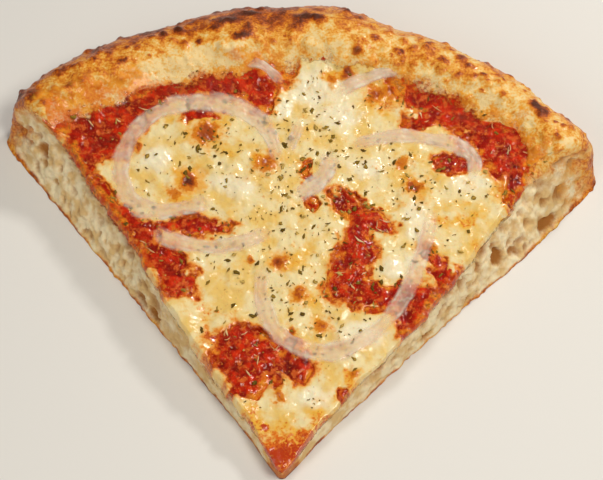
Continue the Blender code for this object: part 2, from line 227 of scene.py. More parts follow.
def oval_reach(x, y, half_length, half_width, turn=0.0):
    """Distance from an oval's middle as a share of the oval's reach that way. Its length lies
    along x, turned towards y by so many radians."""
    c, s = np.cos(turn), np.sin(turn)
    return np.hypot((c * x + s * y) / half_length, (c * y - s * x) / half_width)


def cloud(size, seed, *place):
    """Smooth random field from -1 to 1 with features of the given size: random values on a
    lattice, blended between its corners with an eased weight along each axis."""
    period = 64
    table = np.random.default_rng(seed).uniform(-1.0, 1.0, (period,) * len(place))
    place = np.broadcast_arrays(*[np.asarray(axis, dtype=float) / size for axis in place])
    cell = [np.floor(axis).astype(int) for axis in place]
    part = [axis - corner for axis, corner in zip(place, cell)]
    ease = [p * p * p * (p * (p * 6.0 - 15.0) + 10.0) for p in part]
    total = np.zeros(place[0].shape)
    for corner in range(2 ** len(place)):
        bits = [(corner >> axis) & 1 for axis in range(len(place))]
        weight = np.ones(place[0].shape)
        for bit, e in zip(bits, ease):
            weight = weight * (e if bit else 1.0 - e)
        lattice = tuple((c + bit) % period for c, bit in zip(cell, bits))
        total += weight * table[lattice]
    return total


def clouds(place, *layers):
    """Clouds added up at a place; each layer is its amount, its size and its seed."""
    return sum(amount * cloud(size, seed, *place) for amount, size, seed in layers)


def wavered(x, y, seed, coarse, fine):
    """A place moved about by a coarse and a fine cloud each way, given as amount and size, so
    that the outlines drawn there waver."""
    return (x + clouds((x, y), (*coarse, seed), (*fine, seed + 1)),
            y + clouds((x, y), (*coarse, seed + 2), (*fine, seed + 3)))


def rough_cloud(size, seed, *place, octaves=3):
    """A cloud with finer and weaker clouds added, each half the size and strength."""
    total = np.zeros(np.broadcast_shapes(*[np.shape(axis) for axis in place]))
    for octave in range(octaves):
        total = total + cloud(size / 2**octave, seed + octave, *place) / 2**octave
    return total / (2.0 - 0.5 ** (octaves - 1))


def pebbles(size, seed, across, along):
    """Packed lumps: distance to the nearest of scattered middles, as a share of the size."""
    period = 64
    jitter = np.random.default_rng(seed).uniform(0.1, 0.9, (period, period, 2))
    x, y = np.asarray(across) / size, np.asarray(along) / size
    cell_x, cell_y = np.floor(x).astype(int), np.floor(y).astype(int)
    nearest = np.full(x.shape, 9.0)
    for step_x in (-1, 0, 1):
        for step_y in (-1, 0, 1):
            other_x, other_y = cell_x + step_x, cell_y + step_y
            middle = jitter[other_x % period, other_y % period]
            reach = np.hypot(other_x + middle[..., 0] - x, other_y + middle[..., 1] - y)
            nearest = np.minimum(nearest, reach)
    return nearest


# ---------------------------------------------------------------- the slice's form

def crest_radius(angle):
    """Distance of the rim's crest from the tip: nearly round, with rounded-off corners."""
    corners = 2.0 * smooth_step(22, 40, -angle) + 6.0 * smooth_step(24, 40, angle)
    return CREST_RADIUS + 1.5 * np.exp(-((angle + 2) / 9) ** 2) - corners


def outer_radius(angle):
    """Distance of the rim's widest line: a bump near the middle, rounded-off corners."""
    bump = 2.4 * np.exp(-((angle - 1) / 5) ** 2) + 6.2 * np.exp(-((angle + 5) / 15) ** 2)
    ripple = 0.5 * np.sin(np.radians(31 * angle))
    corners = 5.0 * smooth_step(26, 42, -angle) + 9.0 * smooth_step(12, 44, angle)
    return OUTER_RADIUS - 0.03 * angle + bump + ripple - corners


def base_radius(angle):
    """Distance of the base's edge: tucked in under the rim, less so at the corners."""
    return outer_radius(angle) - BASE_TUCK * (1.0 - 0.9 * smooth_step(15, 38, np.abs(angle)))


def rim_rise(angle):
    """Height of the rim's crest over the dough inside it: uneven, lower at the corners."""
    uneven = 1.1 * np.sin(np.radians(9 * angle + 60)) + 0.7 * np.sin(np.radians(23 * angle))
    corners = 1.5 * smooth_step(26, 40, -angle) + 3.5 * smooth_step(22, 40, angle)
    return RIM_RISE + uneven - corners


def topping_edge(angle):
    """Distance at which the toppings end: a slow wave, pulled in at the right corner."""
    corner = 17.0 * smooth_step(30, 40, angle)
    return TOPPING_EDGE - 1.4 * np.sin(np.radians(3 * angle)) - corner


def base_widening(angle, radius):
    """How much wider the base is than the top, as a ratio of angles. The cut faces bow out a
    little, most of all on the right, two thirds of the way to the rim."""
    bow = 0.7 * smooth_step(0, 12, radius)
    bow = bow + np.where(angle > 0, 1.8 * np.exp(-((radius - 112) / 26) ** 2), 0.0)
    outwards = np.degrees(bow / np.maximum(radius, 1.0))
    left = (BASE_LEFT - outwards) / TOP_LEFT
    right = (BASE_RIGHT + outwards) / TOP_RIGHT
    return np.where(angle < 0, left, right)


def cut_edge(radius, side):
    """Angle of the top edge of a cut: the constant angle of the cut, drawn in by two degrees
    towards the rim and out a little on the lower right, and ragged by under a millimetre."""
    ragged = clouds((radius,), (0.55, 7.0, 15 + side), (0.4, 2.4, 18 + side))
    ragged = ragged * smooth_step(4, 20, radius) * smooth_step(142, 130, radius)
    ragged = np.degrees(ragged / np.maximum(radius, 1.0))
    if side < 0:
        return TOP_LEFT + 1.7 * smooth_step(60, 85, radius) * smooth_step(144, 130, radius) + ragged
    inset = 2.0 * smooth_step(78, 104, radius) * smooth_step(139, 126, radius)
    return TOP_RIGHT + 1.3 * bell(radius - 60, 15) - inset + ragged


def dough_top(angle, radius):
    """Height of the dough: a quarter wave from the tip, a gentle swell, and the rim's rise."""
    along = np.minimum(radius / FULL_THICKNESS_AT, 1.0)
    body = TIP_THICKNESS + (CENTRE_THICKNESS - TIP_THICKNESS) * np.sin(np.pi / 2 * along)
    swell = 0.5 * along * np.sin(np.radians(6 * angle + 1.5 * radius))
    rim = rim_rise(angle) * np.exp(-((radius - crest_radius(angle)) / RIM_WIDTH) ** 2)
    return body + swell + rim


def patch_field(across, along, places, waver=(55, (1.3, 5.0), (0.6, 1.8)), fade=(1.4, 0.3)):
    """The strongest of a list of soft oval patches with wavering outlines, 0 outside them; a
    patch reaches its own amount in its middle, or 1 where none is given."""
    x, y = wavered(across, along, *waver)
    total = np.zeros(np.shape(across))
    for middle_x, middle_y, half_width, half_length, *amount in places:
        reach = oval_reach(x - middle_x, y - middle_y, half_width, half_length)
        total = np.maximum(total, (*amount, 1.0)[0] * smooth_step(*fade, reach))
    return total


def spot_field(across, along, widen=1.0):
    """Browning from 0 to 1: each blister is darkest inside and fades at its ragged outline."""
    spots = [(x, y, radius * widen, radius * widen, dark) for x, y, radius, dark in BROWNED_SPOTS]
    return patch_field(across, along, spots, (51, (1.0, 2.6), (0.5, 1.0)), (1.2, 0.1))


def pool_reach(across, along):
    """Below 1 inside a sauce pool: the least of the distances to the pools' middles, each as
    a share of that pool's own reach, with neighbouring pools blended into one."""
    across, along = wavered(across, along, 11, (0.9, 6.0), (0.9, 2.4))
    total = np.zeros(np.shape(across))
    blend = 7.0
    for middle_x, middle_y, half_length, half_width, turn in SAUCE_POOLS:
        oval = half_length, half_width, np.radians(turn)
        reach = oval_reach(across - middle_x, along - middle_y, *oval)
        total += np.exp(-blend * np.minimum(reach, 9.0))
    return -np.log(total + 1e-12) / blend


def from_rim(angle, radius):
    """Millimetres past the ragged line where the toppings meet the rim. The line stands back
    on the left, and goes further out in the middle."""
    ragged = clouds(flat_place(angle, radius), (1.9, 8.0, 21), (1.3, 3.0, 22))
    stand = 2.4 * bell(angle + 24, 12) - 3.0 * bell(angle - 1, 9) - 2.0 * bell(angle - 21, 9)
    return radius - topping_edge(angle) + ragged + stand


def thinning(angle, radius, width):
    """How much of its thickness a topping keeps: all of it on the slice, less and less towards
    the rim over the width; and how far it sinks into the dough past its edge."""
    beyond = from_rim(angle, radius)
    return 1.0 - 0.88 * smooth_step(-width, 0.0, beyond), 1.8 * smooth_step(-1.5, 2.0, beyond)


def pulp_fields(across, along):
    """The crushed pulp: its sideways shift, the distance to the middles of its small pieces,
    and its rough swell."""
    shift = 1.1 * cloud(2.6, 32, across, along)
    small = pebbles(2.6, 33, across + shift, along + 0.9 * cloud(1.9, 34, across, along))
    return shift, small, rough_cloud(5.0, 31, across, along, octaves=4)


def sauce_height(angle, radius):
    """Height of the sauce: an even film on the dough, mounded and lumpy in the pools, where
    crushed pulp lies in rough pieces; it sinks into the dough at the rim."""
    across, along = flat_place(angle, radius)
    reach = pool_reach(across, along)
    pool = smooth_step(1.75, 0.95, reach)
    shift, small, swell = pulp_fields(across, along)
    tiny = pebbles(1.5, 38, across - 0.6 * shift, along)
    pulp = 0.75 * swell + 0.5 * cloud(9.0, 35, across, along)
    pulp = pulp + 0.85 * (0.36 - small**2) + 0.42 * (0.36 - tiny**2)
    pulp = pulp * (1.0 - 0.4 * smooth_step(0.6, 1.1, reach))
    kept, sunk = thinning(angle, radius, 11.0)
    film = 0.9 + pool * (1.2 + pulp)
    return dough_top(angle, radius) + film * kept - sunk


def cheese_reach(across, along):
    """How far a place is out of the sauce pools, as pool_reach, with wisps of cheese running
    into the pools and small gaps in it near them. No cheese lies between a pool and the rim."""
    reach = pool_reach(across, along)
    beyond = from_rim(*polar_place(across, along))
    reach = reach - 1.5 * smooth_step(-8.0, -3.0, beyond) * smooth_step(2.7, 1.5, reach)
    streaks = clouds((across, along), (0.24, 4.4, 42), (0.17, 2.0, 41), (0.10, 1.0, 43))
    gaps = smooth_step(0.30, 0.8, cloud(3.0, 44, across, along)) * smooth_step(2.4, 1.3, reach)
    bits = smooth_step(0.45, 0.8, cloud(2.6, 45, across, along)) * smooth_step(1.3, 0.9, reach)
    return reach + streaks - 0.5 * gaps + 0.5 * bits


def cheese_cover(angle, radius):
    """How much cheese there is, from 0 in the pools to 1 where it is whole."""
    return smooth_step(0.30, 1.25, cheese_reach(*flat_place(angle, radius)))


def cheese_height(angle, radius):
    """Height of the cheese: a melted layer with soft lumps, whole pieces and small bubbles,
    sinking under the sauce in the pools. A browned blister is a low dome with a sunken
    middle."""
    across, along = flat_place(angle, radius)
    lumps = clouds((across, along), (0.50, 9.0, 61), (0.40, 3.8, 62), (0.22, 1.7, 63),
                   (0.08, 0.9, 64))
    brown = spot_field(across, along)
    blister = 0.9 * brown * (1.0 - brown) - 0.1 * brown
    whole = 0.5 * patch_field(across, along, WHITE_PIECES)
    thickness = cheese_cover(angle, radius) * (2.7 + lumps + blister + whole) - 0.3
    kept, sunk = thinning(angle, radius, 12.0)
    return dough_top(angle, radius) + thickness * kept - sunk


# ---------------------------------------------------------------- meshes

TIP = np.array(min((v.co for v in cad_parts["dough"].data.vertices), key=lambda co: co.y))


def in_frame(points):
    """Millimetre points from the tip, moved to the solids' frame, in metres."""
    return np.asarray(points, dtype=float) * MM + np.array([TIP[0], TIP[1], 0.0])


def grid_quads(rows, columns, around=False):
    """Four corners for each cell of a grid of points with this many rows and columns of
    points; around joins the last column to the first one."""
    last = columns if around else columns - 1
    row, column = np.meshgrid(np.arange(rows - 1), np.arange(last), indexing="ij")
    after = (column + 1) % columns
    corners = (row * columns + column, row * columns + after,
               (row + 1) * columns + after, (row + 1) * columns + column)
    return np.stack([corner.ravel() for corner in corners], axis=-1)


def in_scene(name, data):
    """A new object with this name and data, linked to the scene."""
    thing = bpy.data.objects.new(name, data)
    bpy.context.scene.collection.objects.link(thing)
    return thing


def make_piece(name, points, quads, material, fans=(), attributes=None):
    """A smooth mesh from millimetre points and quads. A fan is a loop of points and the
    middle point that closes it. Attributes are numbers for each point, for the material."""
    faces = quads.tolist()
    for loop, middle in fans:
        faces += [(one, two, middle) for one, two in zip(loop.tolist(), np.roll(loop, -1).tolist())]
    mesh = bpy.data.meshes.new(name)
    mesh.from_pydata(in_frame(points).tolist(), [], faces)
    mesh.validate()
    for key, values in (attributes or {}).items():
        layer = mesh.attributes.new(key, "FLOAT", "POINT")
        layer.data.foreach_set("value", np.asarray(values, dtype=np.float32).ravel())
    mesh.shade_smooth()
    mesh.materials.append(material)
    piece = in_scene(name, mesh)
    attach(piece, BODY)
    return piece


def make_shell(name, surface, end_points, material, values, end_values):
    """A closed piece from rings of points, with a fan to a point of its own closing each end.
    The values are numbers for the rings' points, and for the two end points."""
    rows, columns = surface.shape[:2]
    count = rows * columns
    points = np.vstack([surface.reshape(-1, 3), *end_points])
    fans = [(np.arange(columns)[::-1], count), (np.arange(count - columns, count), count + 1)]
    attributes = {key: np.append(np.broadcast_to(value, (rows, columns)).ravel(), end_values)
                  for key, value in values.items()}
    quads = grid_quads(rows, columns, around=True)
    return make_piece(name, points, quads, material, fans, attributes)


def slopes(surface):
    """Unit normals of a grid of points whose columns run round, from its steps each way."""
    down = np.gradient(surface, axis=0)
    side = (np.roll(surface, -1, axis=1) - np.roll(surface, 1, axis=1)) / 2.0
    normal = np.cross(side, down)
    return normal / np.maximum(np.linalg.norm(normal, axis=-1, keepdims=True), 1e-9)


# ---------------------------------------------------------------- material maths

def rgb(red, green, blue):
    """A colour as light, from its everyday screen values of 0 to 255."""
    screen = np.array([red, green, blue]) / 255.0
    light = np.where(screen <= 0.04045, screen / 12.92, ((screen + 0.055) / 1.055) ** 2.4)
    return (*light.tolist(), 1.0)


class Field:
    """A number that varies over a surface: a node's socket on which the usual operators and
    a few shaping methods add Math nodes."""

    def __init__(self, finish, socket):
        self.finish = finish
        self.socket = socket

    def maths(self, operation, *values, clamp=False):
        """A Math node on this number and others."""
        settings = {"operation": operation, "use_clamp": clamp}
        node = self.finish.node("ShaderNodeMath", settings, dict(enumerate((self, *values))))
        return Field(self.finish, node.outputs[0])

    def __add__(self, other):
        return self.maths("ADD", other)

    def __mul__(self, other):
        return self.maths("MULTIPLY", other)

    def __sub__(self, other):
        return self.maths("SUBTRACT", other)

    def __rsub__(self, other):
        return (self * -1.0) + other

    __radd__ = __add__
    __rmul__ = __mul__

    def clamped(self):
        """The number kept from 0 to 1."""
        return self.maths("ADD", 0.0, clamp=True)

    def between(self, low, high):
        """0 below low, 1 above high, and a smooth rise between them."""
        settings = {"interpolation_type": "SMOOTHSTEP"}
        inputs = {"Value": self, "From Min": low, "From Max": high}
        node = self.finish.node("ShaderNodeMapRange", settings, inputs)
        return Field(self.finish, node.outputs["Result"])


class Finish:
    """A material under construction: its nodes, and one shader that they feed."""

    def __init__(self, name):
        self.material = bpy.data.materials.new(name)
        self.material.use_nodes = True
        self.tree = self.material.node_tree
        self.shader = self.tree.nodes["Principled BSDF"]
        self.place = self.node("ShaderNodeTexCoord").outputs["Object"]

    def node(self, kind, settings=None, inputs=None):
        """Any node: its type, its settings, and the values or links of its sockets."""
        node = self.tree.nodes.new(kind)
        for key, value in (settings or {}).items():
            setattr(node, key, value)
        for key, value in (inputs or {}).items():
            self.feed(node.inputs[key], value)
        return node

    def feed(self, socket, value):
        """Link a field or a socket to a socket, or set the socket's own value."""
        if isinstance(value, Field):
            value = value.socket
        if isinstance(value, bpy.types.NodeSocket):
            self.tree.links.new(value, socket)
        else:
            socket.default_value = value

    def attribute(self, name):
        """The numbers that a mesh carries under this name."""
        node = self.node("ShaderNodeAttribute", {"attribute_name": name})
        return Field(self, node.outputs["Fac"])

    def noise(self, size, detail=2.0):
        """A cloud from 0 to 1 with features of a size in millimetres."""
        inputs = {"Vector": self.place, "Scale": 1.0 / (size * MM), "Detail": detail}
        return Field(self, self.node("ShaderNodeTexNoise", None, inputs).outputs[0])

    def mix(self, amount, first, second):
        """A colour between two colours."""
        inputs = {"Factor": amount, 6: first, 7: second}
        node = self.node("ShaderNodeMix", {"data_type": "RGBA"}, inputs)
        return node.outputs[2]

    def paint(self, colour, *coats):
        """A colour with others laid over it. A coat is a field, where it starts to cover and
        where it is full, how strong it is, and its colour."""
        for field, start, full, strength, coat in coats:
            cover = field.between(start, full)
            colour = self.mix(cover * strength if strength < 1.0 else cover, colour, coat)
        return colour

    def ramp(self, field, *stops):
        """A colour read along a field from stops of a position and a colour's three values."""
        node = self.node("ShaderNodeValToRGB", None, {"Fac": field})
        row = node.color_ramp.elements
        while len(row) < len(stops):
            row.new(1.0)
        for element, (position, *colour) in zip(row, stops):
            element.position = position
            element.color = rgb(*colour)
        return node.outputs["Color"]

    def bump(self, height, distance, strength=1.0):
        """Fine relief from a height field; distance in millimetres is its full height."""
        inputs = {"Height": height, "Distance": distance * MM, "Strength": strength}
        return self.node("ShaderNodeBump", None, inputs).outputs["Normal"]

    def finished(self, **inputs):
        """Feed the shader's sockets, named with _ for a space, and give the material."""
        for key, value in inputs.items():
            self.feed(self.shader.inputs[key.replace("_", " ")], value)
        return self.material


# ---------------------------------------------------------------- dough

def outline_columns():
    """Columns round the slice at the top of its walls: up the left cut from the tip, along
    the crest of the rim, down the right cut, and round the blunt tip. Each has an angle, a
    distance, its side (-1 left cut, 0 rim, 1 right cut), and how far the tip's rounding
    pushes it out, across and along."""
    left = np.linspace(0.0, float(crest_radius(TOP_LEFT)), CUT_COLUMNS + 1)
    right = np.linspace(float(crest_radius(TOP_RIGHT)), 0.0, CUT_COLUMNS + 1)
    rim = np.linspace(TOP_LEFT, TOP_RIGHT, RIM_COLUMNS + 1)[1:-1]
    tip = np.zeros(TIP_COLUMNS)
    angle = np.concatenate([cut_edge(left, -1), rim, cut_edge(right, 1), tip])
    radius = np.concatenate([left, crest_radius(rim), right, tip])
    side = np.repeat([-1, 0, 1, 1, -1], [len(left), len(rim), len(right), 5, TIP_COLUMNS - 5])
    facing_left = np.full(len(left), LEFT_CUT_FACING)
    facing_right = np.full(len(right), RIGHT_CUT_FACING)
    round_tip = np.linspace(RIGHT_CUT_FACING, LEFT_CUT_FACING + 360.0, TIP_COLUMNS + 2)[1:-1]
    facing = np.concatenate([facing_left, rim, facing_right, round_tip])
    push = TIP_ROUND * smooth_step(TIP_ROUND_REACH, 0.0, radius) * (side != 0)
    return angle, radius, side, flat_points(facing, push)


def wall_surface(angle, radius, side, push):
    """Points down the walls, one row for each step from the top edge to the base. A cut face
    is straight from its top edge to its wider base; the rim runs out from its crest to its
    belly and in to the base in two quarter rounds; near the rim one turns into the other."""
    step = np.linspace(0.0, 1.0, WALL_ROWS + 1)[:, None]
    top = dough_top(angle, radius)
    crest, outer = crest_radius(angle), outer_radius(angle)
    fullness = smooth_step(0.80, 1.0, radius / crest)
    turn = np.radians(90.0 - 180.0 * step)
    end_radius = np.where(turn > 0, crest, base_radius(angle))
    end_height = np.where(turn > 0, top, 0.0)
    bulge = end_radius + (outer - end_radius) * np.cos(turn) - crest
    round_height = BELLY_HEIGHT + (end_height - BELLY_HEIGHT) * np.abs(np.sin(turn))
    height = top * (1.0 - step) * (1.0 - fullness) + round_height * fullness
    straight = np.select([side < 0, side > 0], [TOP_LEFT, TOP_RIGHT], angle)
    base_angle = straight * base_widening(straight, radius)
    spread = angle + (base_angle - angle) * step
    flat = flat_points(spread, radius + bulge * fullness) + push
    flat = flat + rounded_edges(angle, radius, side, top - height)
    return np.concatenate([flat, height[..., None]], axis=-1)


def rounded_edges(angle, radius, side, depth):
    """How far the walls are drawn in, across and along, so that no edge of the crust is
    sharp: a quarter round at the top edge of a cut, wide where the rim is, and a rounding of
    the upright corners between the cuts and the rim."""
    cut_side = np.where(side == 0, np.sign(angle), side)
    facing = np.where(cut_side < 0, LEFT_CUT_FACING, RIGHT_CUT_FACING)
    end_angle = np.where(cut_side < 0, cut_edge(150.0, -1), cut_edge(150.0, 1))
    from_end = np.radians(np.abs(angle - end_angle)) * radius
    from_corner = np.where(side == 0, from_end, crest_radius(angle) - radius)
    bend = 0.5 + 2.4 * smooth_step(-6.0, 6.0, radius - topping_edge(angle))
    bend = bend * (1.0 + 0.3 * cloud(6.0, 98, radius, angle))
    part = np.clip(1.0 - depth / bend, 0.0, 1.0)
    inset = bend * (1.0 - np.sqrt(1.0 - part * part))
    inset = inset * np.where(side == 0, 1.0 - smooth_step(0.0, 9.0, from_end), 1.0)
    corner = 2.2 * np.clip(1.0 - from_corner / 6.5, 0.0, 1.0) ** 2
    from_cut = flat_points(facing, 1.0)
    diagonal = from_cut + flat_points(angle, 1.0)
    diagonal /= np.linalg.norm(diagonal, axis=-1, keepdims=True)
    return -inset[..., None] * from_cut - corner[..., None] * diagonal


def scatter_pores(seed, counts):
    """Middles and sizes of the crumb's pores on a cut face, large ones first. Each new pore
    keeps its middle outside the ones already there. Counts are (how many, least, most)."""
    rng = np.random.default_rng(seed)
    kept = np.zeros((0, 6))
    for count, least, most in counts:
        for _ in range(count):
            along = rng.uniform(2.0, CUT_LENGTH)
            height = rng.uniform(0.6, CUT_HEIGHT)
            size = least + (most - least) * rng.uniform() ** 1.6
            longer = size * rng.uniform(0.9, 1.9)
            tilt = rng.uniform(-0.5, 0.5)
            deep = rng.uniform(0.45, 1.05)
            if len(kept):
                apart = np.hypot((kept[:, 0] - along) / (kept[:, 2] + longer),
                                 (kept[:, 1] - height) / (kept[:, 3] + size))
                if apart.min() < 0.72:
                    continue
            kept = np.vstack([kept, [along, height, longer, size, tilt, deep]])
    return kept


def pore_depth(along, height, pores):
    """Depth in millimetres of the crumb's pores: the deepest of the rounded hollows that a
    place lies in, with the outlines wavered by a small cloud."""
    x, y = wavered(along, height, 71, (0.8, 2.6), (0.35, 1.0))
    depth = np.zeros(along.shape)
    for middle_x, middle_y, longer, size, tilt, deep in pores:
        near = (np.abs(x - middle_x) < longer * 1.3) & (np.abs(y - middle_y) < longer * 1.3)
        reach = oval_reach(x[near] - middle_x, y[near] - middle_y, longer, size, tilt)
        hollow = deep * size * np.maximum(0.0, 1.0 - reach**2) ** 0.62
        depth[near] = np.maximum(depth[near], hollow)
    return depth


def scatter_blisters(seed, count):
    """Angle, place across the rim's profile (0 at the toppings, 1 at the crest, 2 at the
    belly), radius in millimetres, height and toasting of small blisters on the rim."""
    rng = np.random.default_rng(seed)
    angle = rng.uniform(-40.0, 40.0, count)
    profile = rng.uniform(-0.1, 2.2, count)
    radius = 0.6 + 2.0 * rng.uniform(size=count) ** 2.0
    height = radius * rng.uniform(0.18, 0.42, count)
    toast = rng.uniform(0.0, 0.34, count) ** 1.2 * (0.7 + 0.5 * profile)
    return np.stack([angle, profile, radius, height, toast], axis=-1)


def blister_middle(angle, profile):
    """Place of a blister's middle on the rim's skin."""
    crest = crest_radius(angle)
    if profile < 1.0:
        radius = crest - (1.0 - profile) * (crest - topping_edge(angle))
        return *flat_place(angle, radius), dough_top(angle, radius)
    rise = (2.0 - profile) * np.pi / 2
    radius = crest + (outer_radius(angle) - crest) * np.cos(rise)
    height = BELLY_HEIGHT + (dough_top(angle, crest) - BELLY_HEIGHT) * np.sin(rise)
    return *flat_place(angle, radius), height


def rim_fields(points):
    """Relief in millimetres and toasting of the rim, for points on its skin. Blisters are low
    domes scattered over it, browner on top; charred and pale places are listed."""
    x, y, z = place = np.moveaxis(points, -1, 0)
    relief = clouds(place, (0.50, 13.0, 81), (0.38, 5.0, 82), (0.20, 2.2, 83), (0.09, 1.1, 80))
    angle, radius = polar_place(x, y)
    outwards = radius - crest_radius(angle)
    left = smooth_step(4.0, -12.0, angle)
    toast = (
        0.20 + (0.07 + 0.06 * left) * smooth_step(-5.0, 1.0, outwards)
        + (0.13 + 0.12 * left) * smooth_step(1.0, 10.0, outwards)
        + 0.10 * smooth_step(-33.0, -41.0, angle) + 0.06 * smooth_step(26.0, 36.0, angle)
        + 0.05 * smooth_step(-2.0, 4.0, outwards) * smooth_step(16.0, 0.0, angle)
        - 0.05 * smooth_step(-4.0, 14.0, angle)
        + clouds(place, (0.10, 16.0, 84), (0.15, 6.5, 85), (0.15, 2.6, 86))
    )
    for blister_angle, profile, size, height, brown in scatter_blisters(91, BLISTER_COUNT):
        middle_x, middle_y, middle_z = blister_middle(blister_angle, profile)
        near = (np.abs(x - middle_x) < 5.0) & (np.abs(y - middle_y) < 5.0)
        away = (x[near] - middle_x) ** 2 + (y[near] - middle_y) ** 2 + (z[near] - middle_z) ** 2
        reach = np.sqrt(away) / size
        relief[near] += height * smooth_step(1.0, 0.1, reach)
        toast[near] += brown * smooth_step(1.1, 0.0, reach)
    wobble_x = x + clouds(place, (0.6, 2.4, 87), (0.4, 1.1, 96))
    wobble_y = y + clouds(place, (0.6, 2.4, 88), (0.4, 1.1, 97))
    for places, sign, raised in ((CHARRED_SPOTS, 0.88, 0.5), (PALE_PLACES, -1.0, 0.0)):
        for across, along, half_length, half_width, amount in places:
            oval = half_length, half_width, -np.arctan2(across, along)
            reach = oval_reach(wobble_x - across, wobble_y - along, *oval)
            spot = smooth_step(1.4, 0.3, reach)
            # Round each charred place the toasting drops in a ring: a paler ring painted as a
            # highlight.
            toast = toast + sign * amount * spot - raised * 0.16 * bell(reach - 1.7, 0.4)
            relief = relief + raised * spot
    relief = relief + 0.16 * cloud(0.9, 89, x, y, z) * smooth_step(0.25, 0.0, toast)
    return relief, np.where(toast < 0.06, 0.06 + 0.3 * (toast - 0.06), toast)


def ring_down_from(edge_ring):
    """Rings on top of the dough, from its middle out to just inside its edge: close together
    near the edge, where the rim shows, and coarse under the toppings; and the middle."""
    middle = np.array(DOUGH_MIDDLE)
    to_middle = middle - edge_ring[:, :2]
    distance = np.hypot(*to_middle.T)
    part = np.linspace(0.0, 1.0, RIM_TOP_ROWS + 1)[1:, None] * RIM_TOP_REACH / distance[None, :]
    coarse = part[-1] + (0.97 - part[-1]) * np.linspace(0.0, 1.0, 6)[1:, None]
    part = np.vstack([part, coarse])
    flat = edge_ring[None, :, :2] + to_middle[None] * part[..., None]
    height = dough_top(*polar_place(flat[..., 0], flat[..., 1]))
    rings = np.concatenate([flat, height[..., None]], axis=-1)[::-1]
    return rings, [*middle, float(dough_top(*polar_place(*middle)))]


def cut_fields(walls, angle, radius, side):
    """For the cut faces: crumb (1) or crust (0), depth of the pores in millimetres, and how
    far the crumb is stained by sauce from the top or baked golden by the crust. The crust is
    a thin skin under the base, and fades raggedly into the crumb at the rim."""
    z = walls[..., 2]
    reach = np.hypot(walls[..., 0], walls[..., 1])
    from_top = walls[:1, :, 2] - z
    ragged = clouds((reach, z), (0.45, 4.0, 75), (0.3, 1.2, 76))
    under_top = from_top + 9.0 * smooth_step(2.0, -8.0, radius - topping_edge(angle))
    outline_end = (crest_radius(angle) - radius) * np.where(side < 0, 0.32, 0.31)
    skin = np.minimum(np.minimum(under_top * 0.6, outline_end * 0.8), z * 1.3) + ragged
    crumb = smooth_step(0.2, 1.7, np.minimum(under_top, outline_end) * 0.55 + 1.5 * ragged)
    crumb = np.abs(side) * crumb * smooth_step(0.45, 1.2, z * 1.2 + ragged)
    left = 0.9 * pore_depth(reach, z, scatter_pores(101, LEFT_PORES))
    right = pore_depth(reach, z, scatter_pores(202, RIGHT_PORES))
    open_part = smooth_step(0.5, 1.7, skin) * smooth_step(0.1, 1.2, from_top + 0.5 * ragged)
    open_part = open_part * (0.25 + 0.75 * smooth_step(15.0, 70.0, reach)) * smooth_step(2, 8, reach)
    pores = np.where(side < 0, left, right) * open_part * np.abs(side)
    on_body = smooth_step(1.0, -3.0, radius - topping_edge(angle))
    soaked = (1.0 - smooth_step(0.3, 2.6, from_top + 2.0 * ragged)) * on_body
    tip = 1.0 - smooth_step(3.0, 13.0, reach + 3.0 * ragged)
    by_crust = 1.0 - smooth_step(0.0, 8.0, np.minimum(under_top, outline_end) + 2.0 * ragged)
    return crumb, pores, np.maximum(np.maximum(soaked, by_crust * (1.0 - on_body)), 1.3 * tip)


